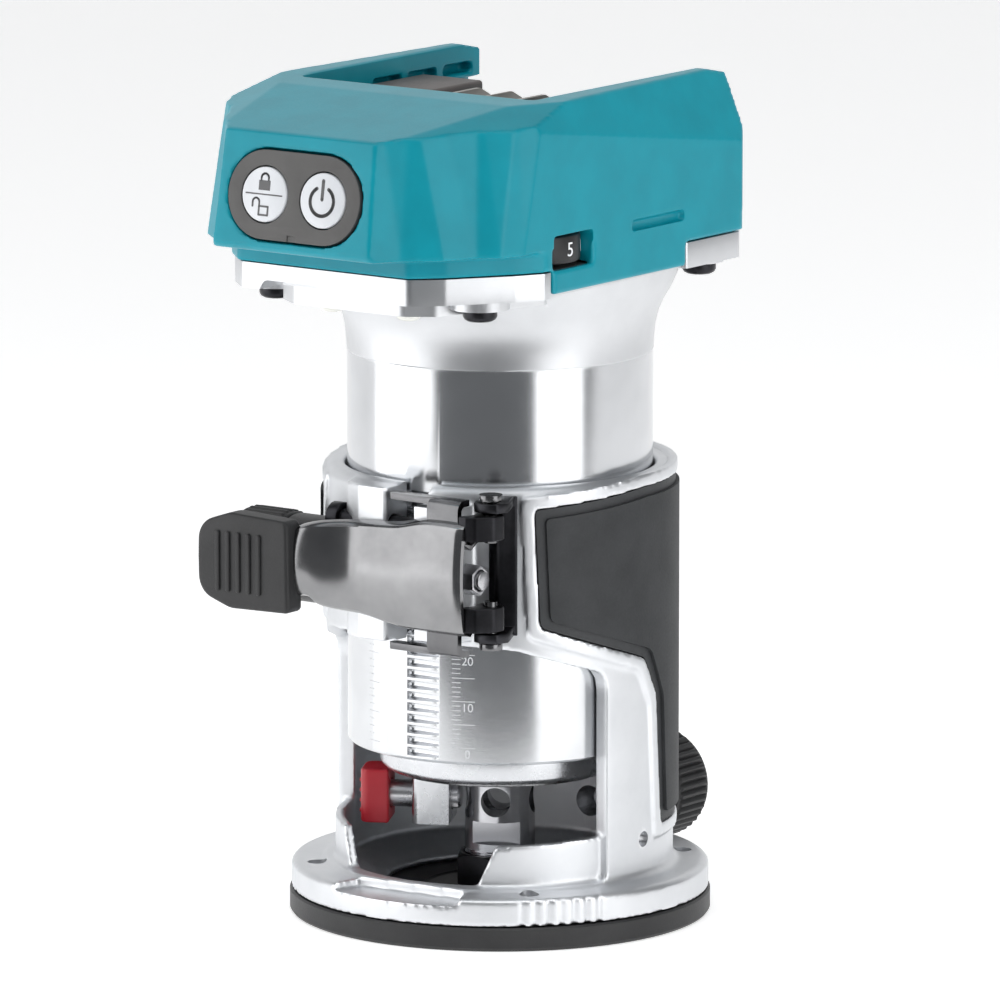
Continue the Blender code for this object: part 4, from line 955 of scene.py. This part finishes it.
brown_grey = moulded("terminal_plastic", (0.09, 0.078, 0.074), (0.13, 0.115, 0.11), (0.45, 0.6), 0.4, 0.015)
half = [(29.8, 168.7, 0), (29.8, 176.2, 0.8), (13.5, 176.2, 0.8), (13.5, 170.8, 0.6)]
shape = slab(rounded(half + [(-x, z, r) for x, z, r in half[::-1]], 4), -28.6, 12.4, "Y")
shape = softened(shape, 0.35, 3)
piece("contact_block", shape, brown_grey, "motor_unit", ["terminal_block"])
tinned = metal("tinned_copper", (0.3, 0.28, 0.26), (0.42, 0.4, 0.37), (0.3, 0.45), 0.3, 0.004)
side = [(-26, 171.1, 0), (8, 171.1, 0), (8, 174.0, 1.4), (4, 176.0, 2), (-24, 176.0, 1), (-26, 174.0, 1)]
for name, x, thick in (("negative", -8.5, 1.2), ("signal", 0.0, 0.8), ("positive", 8.5, 1.2)):
    blade = softened(slab(rounded(side), x - thick / 2, x + thick / 2, "X"), 0.15, 2)
    piece(f"blade_{name}", blade, tinned, "motor_unit", [f"terminal_{name}"])

# Underside of the head: four black socket screws hold it to the flange from below, and two
# clear lenses in the front shelf light the work.

spots = [(side * x, y, low - 0.3) for x, y, low, _ in screw_bosses for side in (-1, 1)]
for k, (x, y, low) in enumerate(spots, 1):
    screw = [(0, low - 1.2), (1.5, low - 1.2), (1.6, low - 2.3), (2.6, low - 2.3), (3.3, low - 1.9)]
    screw += [(3.6, low - 1.3), (3.6, low), (1.8, low), (1.8, 155.6), (1.4, 156.0), (0, 156.0)]
    screw = turned(screw, 48, Matrix.Translation((x, y, 0)))
    piece(f"head_screw_{k}", screw, black_oxide, "motor_unit", [f"flange_screw_{k}"], 35)

clear, where, edges, link = finish_of("clear_lens", metallic=0.0)
swirl = where.noise(2.0, 3)
link(base_color=swirl.shades((0.78, 0.78, 0.72), (0.86, 0.86, 0.82)))
link(roughness=0.06 + swirl * 0.1 + edges.ramp((0.5, 0.0), (0.6, 1.0)) * 0.1)
link(normal=swirl.bump(0.05))
for name, side in (("left", -1), ("right", 1)):
    dome = [(0, 134.3), (1.2, 134.4), (2.2, 134.7), (2.6, 135.1), (2.6, 136.3), (0, 136.3)]
    place = Matrix.Translation((side * 10, -46.0, 0))
    piece(f"lens_{name}", turned(dome, 48, place), clear, "motor_unit", [f"led_lens_{name}"], 50)

# Stage: a pale floor that glows a little and curves up behind, two tall soft lamps that
# stand close on both sides, one overhead, and the camera in front of the dial's corner. The
# front of the floor is kept out of reflections, so that the tube shows its dark middle.

view_turn = math.radians(36)
seam, wide = -0.21, 9.0
floor = bmesh.new()
back = [(seam, 0.0), (4.2, 0.0), (4.8, 0.08), (5.4, 0.4), (5.8, 1.0), (6.0, 2.2), (6.0, 6.0)]
lean = Matrix.Rotation(view_turn, 4, "Z")
rows = [[floor.verts.new(lean @ Vector((x, y, z))) for y, z in back] for x in (-wide, wide)]
for k in range(1, len(back)):
    floor.faces.new((rows[0][k - 1], rows[1][k - 1], rows[1][k], rows[0][k]))
mesh = bpy.data.meshes.new("floor")
floor.to_mesh(mesh)
floor.free()
mesh.shade_smooth()
ground = bpy.data.objects.new("floor", mesh)
bpy.context.scene.collection.objects.link(ground)
curve = ground.modifiers.new("curve", "SUBSURF")
curve.levels = 3
curve.render_levels = 3
curve.boundary_smooth = "PRESERVE_CORNERS"
pale, where, edges, link = finish_of("pale_floor", roughness=0.85, emission_strength=0.55)
link(emission_color=where.noise(500, 2).shades((0.98, 0.98, 0.98), (1.0, 1.0, 1.0)))
link(base_color=where.noise(300, 2).shades((0.86, 0.86, 0.86), (0.88, 0.88, 0.88)))
mesh.materials.append(pale)
front_floor = bpy.data.meshes.new("front_floor")
near = [(-wide, -wide), (wide, -wide), (wide, seam + 0.01), (-wide, seam + 0.01)]
near = [lean @ Vector((x, y, -0.0002)) for x, y in near]
front_floor.from_pydata(near, [], [(0, 1, 2, 3)])
front_floor.materials.append(pale)
front_ground = bpy.data.objects.new("front_floor", front_floor)
front_ground.visible_glossy = False
bpy.context.scene.collection.objects.link(front_ground)

world = bpy.data.worlds.new("studio")
world.use_nodes = True
world.node_tree.nodes["Background"].inputs["Color"].default_value = (0.93, 0.96, 1.0, 1)
world.node_tree.nodes["Background"].inputs["Strength"].default_value = 0.17
bpy.context.scene.world = world
bpy.context.scene.view_settings.view_transform = "Standard"


def lamp(name, degrees, height, away, width, tall, power, aim):
    """A soft rectangular lamp that faces the spindle at one height."""
    light = bpy.data.lights.new(name, "AREA")
    light.shape = "RECTANGLE"
    light.size = width
    light.size_y = tall
    light.energy = power
    made = bpy.data.objects.new(name, light)
    turn = math.radians(degrees)
    made.location = (away * math.sin(turn), -away * math.cos(turn), height)
    made.rotation_mode = "QUATERNION"
    made.rotation_quaternion = (made.location - Vector((0, 0, aim))).to_track_quat("Z", "Y")
    bpy.context.scene.collection.objects.link(made)


lamp("left_lamp", -41, height=0.36, away=0.45, width=0.46, tall=0.8, power=2.0, aim=0.36)
lamp("right_lamp", 81, height=0.36, away=0.45, width=0.3, tall=0.8, power=1.5, aim=0.36)
lamp("top_lamp", 20, height=1.5, away=0.3, width=1.1, tall=1.1, power=8, aim=0.09)

lens = bpy.data.cameras.new("camera")
lens.sensor_width = 36
lens.lens = 396.83
lens.clip_start = 0.1
lens.clip_end = 50
camera = bpy.data.objects.new("camera", lens)
tilt = 0.1797
camera.location = to_frame @ around(2308.4, math.degrees(view_turn), 507.9)
camera.rotation_euler = (math.pi / 2 - tilt, 0, view_turn)
bpy.context.scene.collection.objects.link(camera)
bpy.context.scene.camera = camera
